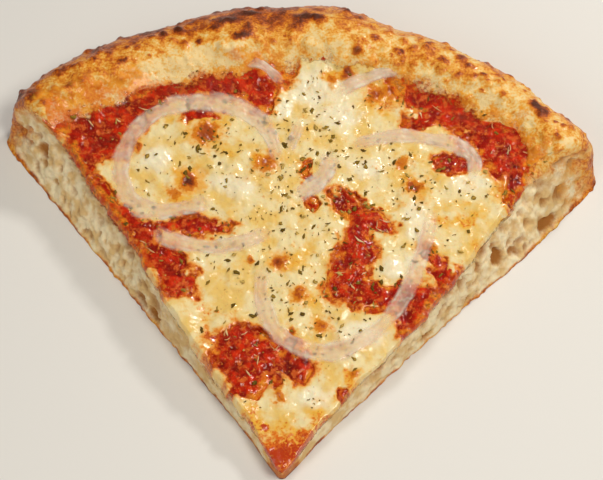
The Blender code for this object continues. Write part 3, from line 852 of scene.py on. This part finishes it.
def make_dough(material):
    """The baked dough: rings from the middle of its top out to its edge, down its walls, and
    in under its base. The cut faces are hollowed by pores down to a thin bottom crust, and
    the rim's skin is raised by blisters."""
    angle, radius, side, push = outline_columns()
    walls = wall_surface(angle, radius, side, push)
    tops, top_middle = ring_down_from(walls[0])
    surface = np.concatenate([tops, walls], axis=0)
    normals = slopes(surface)
    relief, toast = rim_fields(surface)
    angle_here, radius_here = polar_place(surface[..., 0], surface[..., 1])
    on_rim = smooth_step(-4.0, 3.0, radius_here - topping_edge(angle_here))
    is_cut = np.zeros(surface.shape[:2])
    is_cut[len(tops):] = np.abs(side)

    crumb, pores, soaked = cut_fields(walls, angle, radius, side)
    reach, z = np.hypot(walls[..., 0], walls[..., 1]), walls[..., 2]
    from_top = walls[:1, :, 2] - z
    rough = clouds((reach, z), (0.22, 3.4, 78), (0.24, 1.4, 77))
    inward = pores + rough * np.abs(side) * smooth_step(0.0, 30.0, reach)
    turn = np.radians(angle)
    outward = np.stack([side * np.cos(turn), -side * np.sin(turn), 0.0 * turn], axis=-1)
    raised = 1.0 - is_cut
    raised[len(tops):] = np.maximum(raised[len(tops):], smooth_step(3.0, 0.0, from_top))
    moved = surface + normals * (relief * on_rim * raised)[..., None]
    moved[len(tops):] -= outward[None] * inward[..., None]
    over = np.maximum(moved[..., 2] - SQUEEZED_FROM, 0.0)
    squeezed = SQUEEZED_INTO * np.tanh(over / SQUEEZED_INTO)
    moved[..., 2] = np.clip(moved[..., 2] - over + squeezed, 0.0, None)

    flat = surface[..., 0], surface[..., 1]
    pale = patch_field(*flat, PALE_PLACES)
    uneven = 0.75 + 0.5 * cloud(7.0, 99, *flat)
    beyond = from_rim(angle_here, radius_here)
    glow = smooth_step(6.0, -4.0, beyond) * (uneven + 0.35 - 0.2 * smooth_step(2.0, 14.0, angle_here))
    glow = glow * (1.0 - 0.4 * bell(angle_here - 1, 8))
    glow = np.maximum(glow - 1.2 * pale, patch_field(*flat, OILY_PLACES))
    crust_tone = 0.48 + 0.22 * cloud(5.0, 79, *np.moveaxis(surface, -1, 0))
    below_edge = np.abs(side) * smooth_step(0.5, 5.0, from_top)
    toast[len(tops):] += below_edge * (crust_tone - toast)[len(tops):]

    # The base: rings from the wall's foot to the middle, flat on the ground.
    foot = moved[-1]
    centre = np.array([*DOUGH_MIDDLE, 0.0])
    base = np.stack([foot + (centre - foot) * share for share in (0.04, 0.2, 0.45, 0.75)])
    base[..., 2] = 0.0
    base_toast = 0.62 + 0.3 * rough_cloud(16.0, 95, base[..., 0], base[..., 1])

    def over_all(values, on_base=0.0):
        """Values on the walls, or on walls and top, spread over top, walls and base."""
        if len(values) == len(walls):
            values = np.concatenate([np.zeros(tops.shape[:2]), values])
        return np.concatenate([values, on_base + np.zeros(base.shape[:2])])

    values = {
        "crumb": over_all(crumb),
        # Depth of the pores, which the finish turns into painted shade.
        "pore": over_all(np.clip(pores / 2.4, 0.0, 1.0)),
        "soaked": over_all(soaked * np.abs(side)),
        "glow": over_all(glow * (1.0 - is_cut)),
        "toast": over_all(toast, base_toast),
    }
    whole = np.concatenate([moved, base])
    ends = (top_middle, centre)
    piece = make_shell("baked_dough_slice", whole, ends, material, values, (0.0, 0.5))
    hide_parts("dough")


def dough_finish():
    """Crust from pale to charred by its toasting, with fine mottling and an orange glow of oil
    next to the toppings; crumb in cream with painted shade in its pores, stained where sauce soaks in."""
    finish = Finish("baked_crust_and_crumb")
    crumb, pore, glow = map(finish.attribute, ("crumb", "pore", "glow"))
    mottle = finish.noise(3.2, 4.0)
    grain = finish.noise(0.8, 3.0)
    toast = finish.attribute("toast") + (mottle - 0.5) * 0.8 + (grain - 0.5) * 0.7
    crust = finish.ramp(
        toast, (0.0, 244, 214, 152), (0.14, 243, 194, 104), (0.28, 236, 162, 54),
        (0.44, 216, 122, 26), (0.61, 178, 82, 16), (0.78, 128, 54, 14), (1.0, 86, 36, 12),
    )
    oiled = finish.paint(rgb(222, 102, 10), (mottle, 0.35, 0.65, 1.0, rgb(244, 164, 40)))
    crust = finish.paint(
        crust,
        (glow + (mottle - 0.5) * 1.8 + (grain - 0.5) * 0.8, 0.30, 1.15, 0.85, oiled),
        (glow + (mottle - 0.5) * 1.4 + (grain - 0.5) * 0.8, 0.9, 1.5, 0.7, rgb(212, 84, 4)),
    )
    soaked = finish.attribute("soaked") + (mottle - 0.5) * 1.6 + (grain - 0.5) * 0.6
    stain = finish.paint(rgb(234, 166, 72), (soaked, 0.85, 1.3, 1.0, rgb(200, 96, 16)))
    crumb_tone = finish.paint(
        rgb(252, 233, 192),
        (finish.noise(5.0, 3.0), 0.38, 0.62, 1.0, rgb(230, 194, 134)),
        # Painted shade: the crumb darkens with the depth of its pores.
        (pore * 1.2 + (grain - 0.5) * 0.4, 0.10, 1.0, 1.0, rgb(172, 110, 46)),
        (soaked, 0.35, 1.1, 0.85, stain),
    )
    colour = finish.mix(crumb, crust, crumb_tone)
    sheen = (1.0 - crumb) * (1.0 - toast.between(0.5, 0.9)) * mottle.between(0.40, 0.60) * 0.3
    fine = grain * 0.6 + finish.noise(0.35, 2.0) * 0.4
    normal = finish.bump(fine, 0.5, 0.8)
    roughness = 0.34 + crumb * 0.36 + (mottle - 0.5) * 0.3
    return finish.finished(
        Base_Color=colour, Roughness=roughness, Normal=normal,
        Subsurface_Weight=0.12, Subsurface_Scale=0.003, Subsurface_Radius=(1.0, 0.6, 0.35),
        Specular_IOR_Level=0.22, Coat_Weight=sheen, Coat_Roughness=0.10,
    )


# ---------------------------------------------------------------- sauce and cheese

def wedge_grid():
    """Angle and distance of a square grid folded onto the slice: its two first sides lie on
    the cuts and its two far sides share the line where the toppings end. The distance from
    the tip is the larger of the two steps. Rows beyond the cuts carry the roll of the layer's
    edge: how far each is round it, from 0 on the top to 1 at its end, past either cut."""
    count = np.arange(-ROLL_ROWS, LAYER_CELLS + 1)
    step = np.maximum(count, 0) / LAYER_CELLS
    right_step, left_step = np.meshgrid(step, step, indexing="ij")
    left_x, left_y = flat_place(TOP_LEFT, 1.0)
    right_x, right_y = flat_place(TOP_RIGHT, 1.0)
    across = left_step * left_x + right_step * right_x
    along = left_step * left_y + right_step * right_y
    angle = np.degrees(np.arctan2(across, np.maximum(along, 1e-9)))
    radius = np.maximum(left_step, right_step) * (topping_edge(angle) + 4.5)
    share = (angle - TOP_LEFT) / (TOP_RIGHT - TOP_LEFT)
    angle = cut_edge(radius, -1) * (1.0 - share) + cut_edge(radius, 1) * share
    beyond = np.maximum(-count, 0) / ROLL_ROWS
    past_left_cut, past_right_cut = np.meshgrid(beyond, beyond, indexing="ij")
    return angle, radius, past_left_cut, past_right_cut


def make_layer(name, height, edge_out, edge_fall, material, layer_values):
    """A closed layer of topping. Its top is the height over each place; past the cuts it
    bends over the edge in a quarter round, down past the dough's top, leaning out as the cut
    face does, and its end is tucked back into the dough; under it rings run in to the middle,
    inside the dough. Near the tip it is pushed out as the blunt tip of the dough is."""
    angle, radius, past_left_cut, past_right_cut = wedge_grid()
    bend = np.maximum(past_left_cut, past_right_cut)
    facing = np.zeros((*angle.shape, 2))
    for past, turn in ((past_left_cut, LEFT_CUT_FACING), (past_right_cut, RIGHT_CUT_FACING)):
        facing += (past > 0)[..., None] * flat_points(turn, 1.0)
    facing /= np.maximum(np.linalg.norm(facing, axis=-1, keepdims=True), 1e-9)
    top, dough = height(angle, radius), dough_top(angle, radius)
    covered = np.clip(top - dough + 0.8, 0.0, None)
    fall = np.maximum(edge_fall(angle, radius), covered) * (1.0 - np.cos(bend * np.pi / 2))
    straight = np.where(angle < 0, TOP_LEFT, TOP_RIGHT)
    foot = np.radians(np.abs(straight * base_widening(straight, radius)) - np.abs(angle)) * radius
    tucked = np.sin(bend * np.pi / 2) * (1.0 - 1.7 * smooth_step(0.55, 1.0, bend))
    out = edge_out(angle, radius) * tucked + np.clip(foot, 0.0, None) / dough * fall
    near_cut = np.maximum(smooth_step(25, 38, np.abs(angle)), bend > 0)
    push = TIP_ROUND * smooth_step(TIP_ROUND_REACH, 0.0, radius) * near_cut
    sideways = flat_points(-np.sign(angle) * LEFT_CUT_FACING, push)
    pushed = np.where((bend > 0)[..., None], facing * push[..., None], sideways)
    flat = flat_points(angle, radius) + facing * out[..., None] + pushed
    surface = np.concatenate([flat, (top - fall)[..., None]], axis=-1)
    rows, columns = surface.shape[:2]
    index = np.arange(rows * columns).reshape(rows, columns)
    loop = np.concatenate([index[0, :-1], index[:-1, -1], index[-1, :0:-1], index[:0:-1, 0]])
    points = surface.reshape(-1, 3)
    rim = points[loop]
    centre = np.array(LAYER_MIDDLE)
    rings = []
    for share in (0.03, 0.25, 0.6):
        ring = rim + (centre - rim) * share
        inside = dough_top(*polar_place(ring[:, 0], ring[:, 1])) - 0.8
        ring[:, 2] = np.minimum(rim[:, 2] - 0.3, inside)
        rings.append(ring)
    whole = np.vstack([points, *rings, centre])
    quads = [grid_quads(rows, columns)[:, ::-1]]
    ring_index = [loop] + [len(points) + n * len(loop) + np.arange(len(loop)) for n in range(3)]
    for one, two in zip(ring_index, ring_index[1:]):
        quads.append(np.stack([one, np.roll(one, -1), np.roll(two, -1), two], axis=-1))
    unseen = np.zeros(len(whole) - len(points))
    values = layer_values(angle, radius, bend)
    values = {key: np.append(value.ravel(), unseen) for key, value in values.items()}
    fans = [(ring_index[-1], len(whole) - 1)]
    return make_piece(name, whole, np.vstack(quads), material, fans, values)


def sauce_edge_out(angle, radius):
    """The sauce stands out over the cut by a fraction of a millimetre, unevenly."""
    return 0.30 + 0.30 * cloud(3.0, 111, radius, angle)


def sauce_edge_fall(angle, radius):
    """How far the sauce runs down the cut: a millimetre or two, more from the pools on the
    lower right and the upper left, and less on the lower left."""
    pool = 1.6 * bell(radius - 68, 14) * (angle > 0) + 1.2 * bell(radius - 122, 16) * (angle < 0)
    pool = pool - 0.6 * (angle < 0) * smooth_step(66, 50, radius)
    return 1.5 + pool + 1.2 * cloud(3.4, 112, radius, angle)


def sauce_values(angle, radius, bend):
    """Hollows between the lumps of pulp, for painted shade; oil at the pools' edges, near the rim and
    next to the cuts; and where the sauce is thin, or lies under cheese and isn't seen."""
    across, along = flat_place(angle, radius)
    _, small, swell = pulp_fields(across, along)
    # How deep a place lies in a hollow between lumps or in a dip of the swell: painted shade, darkening
    # the red there.
    hollow = smooth_step(0.35, 0.75, small) * (0.6 + 0.4 * cloud(3.0, 37, across, along))
    hollow = hollow + 0.6 * smooth_step(0.1, -0.5, swell)
    reach = pool_reach(across, along) + 0.22 * cloud(2.5, 36, across, along)
    oil = np.maximum(smooth_step(0.68, 1.2, reach), patch_field(across, along, OILY_PLACES))
    beyond = from_rim(angle, radius)
    oil = np.maximum(oil, smooth_step(-2.5, 1.0, beyond))
    oil = np.maximum(oil, 0.9 * smooth_step(0.1, 0.7, bend))
    thin = np.maximum(smooth_step(-6.0, -1.0, beyond), smooth_step(0.45, 1.0, bend))
    from_left = np.radians(angle - cut_edge(radius, -1)) * radius
    from_right = np.radians(cut_edge(radius, 1) - angle) * radius
    from_cut = np.minimum(from_left, from_right) + 1.5 * cloud(4.0, 39, across, along)
    next_to_cut = smooth_step(2.8, 0.4, from_cut) * smooth_step(12, 30, radius)
    thin = np.maximum(thin, 0.3 * next_to_cut)
    oil = np.maximum(oil, next_to_cut)
    covered = smooth_step(0.9, 1.5, reach) * smooth_step(0.0, 0.3, bend)
    return {"hollow_shade": hollow, "oil": oil, "thin": np.maximum(thin, 1.6 * covered)}


def sauce_finish():
    """Glossy crushed tomato: brighter on the lumps and darker in the hollows between them, as painted
    shade, orange where oil and cheese run into it, and with small paler flecks that are painted
    highlights."""
    finish = Finish("crushed_tomato_sauce")
    hollow, oil = map(finish.attribute, ("hollow_shade", "oil"))
    pulp = finish.noise(3.0, 4.0)
    fleck = finish.noise(1.0, 3.0)
    milky = finish.noise(2.4, 2.0)
    red = finish.paint(rgb(160, 14, 0), (pulp, 0.38, 0.62, 1.0, rgb(218, 46, 4)))
    # Painted shade: the red turns deeper in the hollows between the lumps.
    red = finish.mix((hollow * 0.8).clamped(), red, rgb(112, 8, 0))
    orange = finish.paint(rgb(208, 66, 6), (pulp, 0.38, 0.62, 1.0, rgb(238, 144, 38)))
    colour = finish.paint(
        red,
        (milky + (fleck - 0.5) * 0.4, 0.51, 0.68, 0.7, rgb(226, 104, 40)),
        # Painted highlights: small paler orange flecks on the pulp.
        (fleck, 0.62, 0.70, 0.6, rgb(240, 140, 50)),
        (oil * 0.95 + (pulp - 0.5) * 1.6 + (fleck - 0.5) * 0.3, 0.35, 1.05, 1.0, orange),
    )
    relief = pulp * 0.55 + fleck * 0.30 + finish.noise(0.5, 2.0) * 0.15
    normal = finish.bump(relief, 1.7, 0.9)
    roughness = 0.10 + (pulp - 0.5) * 0.12
    faint = finish.attribute("thin") + (fleck - 0.5) * 1.6 + (pulp - 0.5) * 1.4
    alpha = 1.0 - faint.between(0.15, 1.0) * 0.97
    return finish.finished(
        Base_Color=colour, Roughness=roughness, Normal=normal, Alpha=alpha,
        Specular_IOR_Level=0.3, Specular_Tint=(1.0, 0.45, 0.2, 1.0),
        Subsurface_Weight=0.08, Subsurface_Scale=0.002, Subsurface_Radius=(1.0, 0.25, 0.12),
        Coat_Weight=0.4, Coat_Roughness=0.05,
    )


def lower_left(radius):
    """1 on the stretch of the left cut where the cheese runs down, 0 elsewhere."""
    return smooth_step(6, 20, radius) * smooth_step(64, 46, radius)


def cheese_edge_out(angle, radius):
    """The cheese stands out a little over the cut, more where it runs down."""
    uneven = 0.22 + 0.25 * cloud(3.5, 121, radius, angle)
    return uneven + 0.35 * (angle < 0) * lower_left(radius)


def cheese_edge_fall(angle, radius):
    """How far the cheese hangs down the cut: far on the lower left, a little elsewhere."""
    right = 1.0 + 1.8 * smooth_step(6, 16, radius) * smooth_step(50, 30, radius)
    reach = np.where(angle < 0, 1.2 + 5.2 * lower_left(radius), right)
    reach = reach * (1.0 + clouds((radius, angle), (0.40, 7.0, 122), (0.25, 2.4, 123)))
    return np.minimum(reach, 0.8 * dough_top(angle, radius))


def cheese_values(angle, radius, bend):
    """How far out of the sauce, browning, yellow oil, and the whitest places."""
    across, along = flat_place(angle, radius)
    reach = cheese_reach(across, along)
    beyond = from_rim(angle, radius)
    rim_side = smooth_step(-9.0, 0.0, beyond) * (0.5 + 0.5 * smooth_step(2.0, 9.0, np.abs(angle - 1)))
    oil = 0.28 + 0.38 * rough_cloud(13.0, 131, across, along, octaves=3)
    oil = np.maximum(oil + 0.45 * rim_side, patch_field(across, along, OILY_PLACES))
    tip = 1.0 - smooth_step(2.0, 12.0, radius)
    return {
        "over_sauce": smooth_step(0.85, 2.15, reach),
        "browned": spot_field(across, along),
        "halo": spot_field(across, along, 1.8),
        "oil": np.clip(oil + 0.3 * bend + 0.5 * tip, 0.0, 1.4),
        "whole": patch_field(across, along, WHITE_PIECES),
        "thin": np.maximum(smooth_step(-6.0, -0.8, beyond), smooth_step(0.5, 1.0, bend)),
    }


def cheese_finish():
    """Melted mozzarella: milky where it is thick, yellow with oil, orange and see-through
    where it thins out over the sauce, and browned on its blisters."""
    finish = Finish("melted_mozzarella")
    over, browned, halo = map(finish.attribute, ("over_sauce", "browned", "halo"))
    oil, whole = map(finish.attribute, ("oil", "whole"))
    curd = finish.noise(6.0, 4.0)
    fine = finish.noise(1.5, 3.0)
    speck = finish.noise(0.7, 2.0)
    milk = finish.paint(
        rgb(244, 224, 170),
        (curd, 0.38, 0.62, 1.0, rgb(238, 200, 114)),
        (whole + (fine - 0.5) * 1.2, 0.10, 0.95, 0.7, rgb(251, 242, 214)),
        (oil + (fine - 0.5) * 0.5 + (curd - 0.5) * 1.1, 0.42, 1.0, 0.9, rgb(240, 180, 56)),
        (oil + (speck - 0.5) * 0.9 + (fine - 0.5) * 1.3, 0.78, 1.25, 0.9, rgb(220, 98, 12)),
        (oil + (speck - 0.5) * 1.4 + (curd - 0.5) * 1.8, 1.05, 1.5, 0.85, rgb(184, 44, 8)),
    )
    thin = over + (fine - 0.5) * 0.7 + (speck - 0.5) * 0.3
    through = finish.ramp(
        thin, (0.0, 208, 60, 10), (0.14, 220, 98, 24), (0.32, 233, 148, 56),
        (0.54, 240, 194, 112), (0.80, 244, 218, 160),
    )
    spot = browned + (fine - 0.5) * 0.5 + (speck - 0.5) * 0.4
    colour = finish.paint(
        finish.mix(thin.between(0.34, 0.90), through, milk),
        (halo + (fine - 0.5) * 0.7, 0.05, 0.60, 0.8, rgb(240, 168, 40)),
        (spot, 0.06, 0.30, 0.95, rgb(216, 122, 14)),
        (spot, 0.34, 0.62, 1.0, rgb(172, 76, 10)),
        (spot, 0.60, 0.95, 1.0, rgb(102, 38, 10)),
    )
    relief = curd * 0.45 + fine * 0.40 + speck * 0.15
    normal = finish.bump(relief, 0.7, 0.6)
    roughness = 0.20 + (fine - 0.5) * 0.25 + browned * 0.1
    faint = finish.attribute("thin") + (fine - 0.5) * 1.4 + (curd - 0.5) * 1.2
    alpha = (0.1 + thin.between(-0.14, 0.34) * 0.9) * (1.0 - faint.between(0.35, 1.05) * 0.97)
    return finish.finished(
        Base_Color=colour, Roughness=roughness, Normal=normal, Alpha=alpha, Specular_IOR_Level=0.35,
        Subsurface_Weight=0.25, Subsurface_Scale=0.002, Subsurface_Radius=(1.0, 0.7, 0.4),
        Coat_Weight=0.25, Coat_Roughness=0.06,
    )


# ---------------------------------------------------------------- onion

def smooth_route(points, spacing):
    """Points at an even spacing on a curve through the given ones (Catmull-Rom)."""
    given = np.array(points, dtype=float)
    padded = np.vstack([2 * given[0] - given[1], given, 2 * given[-1] - given[-2]])
    t = np.linspace(0.0, 1.0, 40, endpoint=False)[:, None]
    route = []
    for p0, p1, p2, p3 in zip(padded, padded[1:], padded[2:], padded[3:]):
        bend = (2 * p0 - 5 * p1 + 4 * p2 - p3) * t**2 + (3 * p1 - p0 - 3 * p2 + p3) * t**3
        route.append(p1 + 0.5 * ((p2 - p0) * t + bend))
    route = np.vstack([*route, given[-1:]])
    length = np.concatenate([[0.0], np.cumsum(np.hypot(*np.diff(route, axis=0).T))])
    even = np.linspace(0.0, length[-1], max(8, round(length[-1] / spacing)))
    return np.stack([np.interp(even, length, route[:, axis]) for axis in (0, 1)], axis=-1), even


def topping_height(across, along):
    """Height of whichever is on top at a place, the cheese or the sauce."""
    place = polar_place(across, along)
    return np.maximum(cheese_height(*place), sauce_height(*place))


def make_onion(number, width, solid, points, material):
    """A strip of onion: a thin shell, thickest in its middle, with fine lengthwise ribs,
    carried along its route and laid on the toppings, sinking into them at its ends."""
    route, length = smooth_route(points, ONION_STEP)
    heading = np.gradient(route, axis=0)
    heading /= np.linalg.norm(heading, axis=1, keepdims=True)
    sideways = np.stack([heading[:, 1], -heading[:, 0]], axis=-1)
    end = np.minimum(length, length[-1] - length)
    narrowing = np.sqrt(np.clip(1.0 - (1.0 - np.minimum(end / 4.0, 1.0)) ** 2, 0.02, 1.0))
    wander = 1.0 + clouds((length,), (0.24, 9.0, 141 + number), (0.10, 3.0, 151 + number))
    around = np.arange(ONION_SIDES) * 2 * np.pi / ONION_SIDES
    side, rise = -np.cos(around), np.sin(around)
    half = 0.5 * width * narrowing * wander
    x = route[:, :1] + sideways[:, :1] * side * half[:, None]
    y = route[:, 1:] + sideways[:, 1:] * side * half[:, None]
    level = topping_height(*route.T)
    steady = np.convolve(np.pad(level, 6, mode="edge"), np.ones(13) / 13, mode="valid")
    ground = 0.6 * topping_height(x, y) + 0.4 * steady[:, None]
    rib = 1.0 + 0.25 * np.sin(side * 13.0 + 2.0 * cloud(14.0, 161, length)[:, None]) * (rise > 0)
    shell = 0.34 * rise * np.abs(rise) * rib * narrowing[:, None]
    lean = 0.3 * cloud(16.0, 171 + number, length)[:, None] * side
    sunk = 0.5 * (1.0 - smooth_step(0.0, 6.0, end))[:, None]
    surface = np.stack([x, y, ground + 0.24 + shell + lean - sunk], axis=-1)
    ends = (surface[0].mean(axis=0), surface[-1].mean(axis=0))
    values = {"across": side[None, :], "solid": solid * np.minimum(end / 6.0, 1.0)[:, None]}
    piece = make_shell(f"onion_strip_{number}", surface, ends, material, values, (0.0, 0.0))
    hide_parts(f"onion_{number}")


def onion_finish():
    """Softened white onion: cloudy and see-through, a little pink, with fine ribs along it,
    a brighter line here and there inside its edges, partly the layer's own pale edge and partly
    a painted highlight, and fainter at its ends."""
    finish = Finish("softened_white_onion")
    across, solid = map(finish.attribute, ("across", "solid"))
    waver = finish.noise(6.0, 2.0)
    cloudy = finish.noise(4.0, 3.0)
    ribs = (across * 11.0 + waver * 7.0).maths("SINE") * 0.5 + 0.5
    side = across.maths("ABSOLUTE") + (waver - 0.5) * 0.4
    # The line: a brighter band inside the edges, partly the layer's own pale edge and partly a painted
    # highlight.
    line = side.between(0.40, 0.70) * (1.0 - side.between(0.66, 0.94)) * cloudy.between(0.46, 0.62)
    flesh = finish.mix(ribs * 0.5, rgb(251, 228, 204), rgb(230, 190, 164))
    colour = finish.mix(line * 0.8, flesh, rgb(255, 246, 228))
    body = 0.38 + ribs * 0.08 + (cloudy - 0.5) * 0.8 + line * 0.12
    alpha = body * solid * (1.0 - side.between(0.50, 0.98))
    normal = finish.bump(ribs * 0.5 + cloudy * 0.5, 0.3, 0.6)
    return finish.finished(
        Base_Color=colour, Roughness=0.28, Alpha=alpha.clamped(), Normal=normal,
        Subsurface_Weight=0.2, Subsurface_Scale=0.002, Specular_IOR_Level=0.2,
    )


# ---------------------------------------------------------------- herbs

def scatter_on_toppings(rng, count, density):
    """Places on the toppings, kept with a chance given by the density at each place."""
    kept = np.zeros((0, 2))
    while len(kept) < count:
        angle = rng.uniform(TOP_LEFT + 2, TOP_RIGHT - 2, 4 * count)
        radius = TOPPING_EDGE * np.sqrt(rng.uniform(0.01, 1.0, 4 * count))
        chance = density(*flat_place(angle, radius))
        lucky = rng.uniform(size=len(chance)) < chance
        kept = np.vstack([kept, flat_points(angle, radius)[lucky]])
    return kept[:count]


def herb_density(across, along):
    """Most of the oregano is on the middle of the cheese, less of it near the edges."""
    middle = bell(np.hypot((across + 2) / 50, (along - 97) / 34), 1.0)
    middle = np.maximum(middle, 0.8 * bell(np.hypot((across - 4) / 30, (along - 60) / 24), 1.0))
    patchy = 0.75 + 0.5 * cloud(9.0, 181, across, along)
    return np.clip((0.05 + middle) * patchy, 0.0, 1.0)


def stem_density(across, along):
    """The pale bits lie on the sauce, most of them on the lower left pool."""
    on_sauce = pool_reach(across, along) < 0.95
    near = bell(np.hypot((across + 12) / 13, (along - 37) / 7), 1.0)
    near = np.maximum(near, 0.35 * bell(np.hypot((across - 22) / 16, (along - 68) / 22), 1.0))
    return on_sauce * np.clip(0.12 + near, 0.0, 1.0)


def make_flakes(name, places, sizes, rng, material, lift):
    """Small flakes: each is a thin pointed oval with a broken outline, bent along its length,
    closed above and below, turned at random and laid on the toppings."""
    u = np.linspace(0.0, 1.0, 5)
    width = np.sin(np.pi * np.clip(u, 0.04, 0.96)) ** 0.7
    ring = np.array([(-1.0, 0.0), (0.0, 0.6), (1.0, 0.0), (0.0, -0.6)])
    count, rows, columns = len(places), len(u), len(ring)
    long, wide, thick = (sizes[:, axis][:, None, None] for axis in range(3))
    width = width[None, :, None] * rng.uniform(0.45, 1.3, (count, rows, 1))
    bend = rng.uniform(-0.5, 0.5, (count, 1, 1))
    x = (u[None, :, None] - 0.5) * long
    y = ring[None, None, :, 0] * width * wide / 2 + rng.uniform(-0.15, 0.15, (count, rows, 1)) * wide
    y = y + bend * long * (0.25 - (u[None, :, None] - 0.5) ** 2)
    curl = rng.uniform(0.0, 0.5, (count, 1, 1)) * long * (u[None, :, None] - 0.5) ** 2
    z = ring[None, None, :, 1] * thick * width + curl
    turn = rng.uniform(0, 2 * np.pi, (count, 1, 1))
    across = places[:, 0][:, None, None] + np.cos(turn) * x - np.sin(turn) * y
    along = places[:, 1][:, None, None] + np.sin(turn) * x + np.cos(turn) * y
    ground = topping_height(*places.T)[:, None, None]
    tilt = rng.uniform(-0.25, 0.25, (count, 1, 1)) * x
    surface = np.stack([across, along, ground + lift + z + tilt], axis=-1)
    points = surface.reshape(-1, 3)
    base = (np.arange(count) * rows * columns)[:, None, None]
    quads = (grid_quads(rows, columns, around=True)[None, :, ::-1] + base).reshape(-1, 4)
    caps = np.concatenate([
        (np.arange(columns)[None] + base[:, 0]),
        (np.arange(columns)[None, ::-1] + (rows - 1) * columns + base[:, 0]),
    ])
    shade = np.repeat(rng.uniform(0.0, 1.0, count), rows * columns)
    make_piece(name, points, np.vstack([quads, caps]), material, (), {"shade": shade})


def herb_finish():
    """Dried oregano: dull green-brown, each flake a little different."""
    finish = Finish("dried_oregano")
    shade = finish.attribute("shade") + (finish.noise(0.8) - 0.5) * 0.4
    stops = ((0.0, 92, 68, 12), (0.40, 122, 94, 22), (0.75, 160, 126, 42), (1.0, 210, 176, 96))
    colour = finish.ramp(shade, *stops)
    normal = finish.bump(finish.noise(0.4), 0.1)
    return finish.finished(Base_Color=colour, Roughness=0.75, Specular_IOR_Level=0.15, Normal=normal)


def stem_finish():
    """Pale dried stem and seed bits: straw coloured."""
    finish = Finish("pale_stem_bits")
    colour = finish.mix(finish.attribute("shade"), rgb(240, 208, 150), rgb(222, 150, 84))
    normal = finish.bump(finish.noise(0.5), 0.1)
    return finish.finished(Base_Color=colour, Roughness=0.5, Normal=normal)


# ---------------------------------------------------------------- stage

def make_stage():
    """A plain pale floor, a soft key light from above on the right, a small one from behind
    for glints, a wide weak one from the front on the left, and even light all round."""
    mesh = bpy.data.meshes.new("floor")
    corners = [(FLOOR_REACH * x, FLOOR_REACH * y, 0.0) for x, y in ((-1, -1), (1, -1), (1, 1), (-1, 1))]
    mesh.from_pydata(corners, [], [(0, 1, 2, 3)])
    floor = in_scene("floor", mesh)
    floor.location.z = -FLOOR_GAP
    finish = Finish("pale_floor")
    mesh.materials.append(finish.finished(Base_Color=rgb(232, 230, 226), Roughness=0.9))
    for name, place, width, power, tint in (
        ("key_light", (0.28, -0.15, 0.62), 0.22, 2.3, (1.0, 0.95, 0.86)),
        ("back_light", (0.25, 0.45, 0.45), 0.08, 1.7, (1.0, 0.96, 0.90)),
        ("front_light", (-0.35, -0.45, 0.45), 0.50, 1.35, (1.0, 0.95, 0.85)),
    ):
        light = bpy.data.lights.new(name, "AREA")
        light.size = width
        light.energy = power
        light.color = tint
        lamp = in_scene(name, light)
        lamp.location = place
        lamp.rotation_euler = (-Vector(place)).to_track_quat("-Z", "Y").to_euler()
    world = bpy.data.worlds.new("room")
    world.use_nodes = True
    background = world.node_tree.nodes["Background"]
    background.inputs["Color"].default_value = (1.0, 0.98, 0.95, 1.0)
    background.inputs["Strength"].default_value = 0.18
    bpy.context.scene.world = world
    bpy.context.scene.view_settings.view_transform = "Standard"


def make_camera():
    """Looks down at the slice from its tip's side, a long lens from half a metre away."""
    azimuth, elevation, distance = np.radians(3.6), np.radians(60.0), 0.54
    target = Vector((TIP[0] + 1.2 * MM, TIP[1] + 76 * MM, 12 * MM))
    level = np.cos(elevation)
    back = Vector((np.sin(azimuth) * level, -np.cos(azimuth) * level, np.sin(elevation)))
    lens = bpy.data.cameras.new("camera")
    lens.lens = 100.0
    lens.sensor_width = 36.0
    camera = in_scene("camera", lens)
    camera.location = target + back * distance
    camera.rotation_euler = (-back).to_track_quat("-Z", "Y").to_euler()
    bpy.context.scene.camera = camera


def main():
    make_camera()
    make_stage()
    make_dough(dough_finish())
    sauce = make_layer("crushed_tomato", sauce_height, sauce_edge_out, sauce_edge_fall,
                       sauce_finish(), sauce_values)
    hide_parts("tomato_sauce")
    cheese = make_layer("melted_cheese", cheese_height, cheese_edge_out, cheese_edge_fall,
                        cheese_finish(), cheese_values)
    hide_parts("mozzarella")
    onion = onion_finish()
    for number, (width, solid, points) in enumerate(ONION_STRIPS, start=1):
        make_onion(number, width, solid, points, onion)
    rng = np.random.default_rng(7)
    count = OREGANO_COUNT
    places = scatter_on_toppings(rng, count, herb_density)
    long = 0.45 + 1.9 * rng.uniform(size=count) ** 2.0
    sizes = np.stack([long, long * rng.uniform(0.28, 0.90, count), long * 0.09], axis=-1)
    make_flakes("oregano", places, sizes, rng, herb_finish(), 0.15)
    count = STEM_BIT_COUNT
    places = scatter_on_toppings(rng, count, stem_density)
    long = 0.9 + 3.6 * rng.uniform(size=count) ** 1.4
    sizes = np.stack([long, rng.uniform(0.35, 0.65, count), rng.uniform(0.2, 0.34, count)], axis=-1)
    make_flakes("stem_bits", places, sizes, rng, stem_finish(), 0.2)


main()
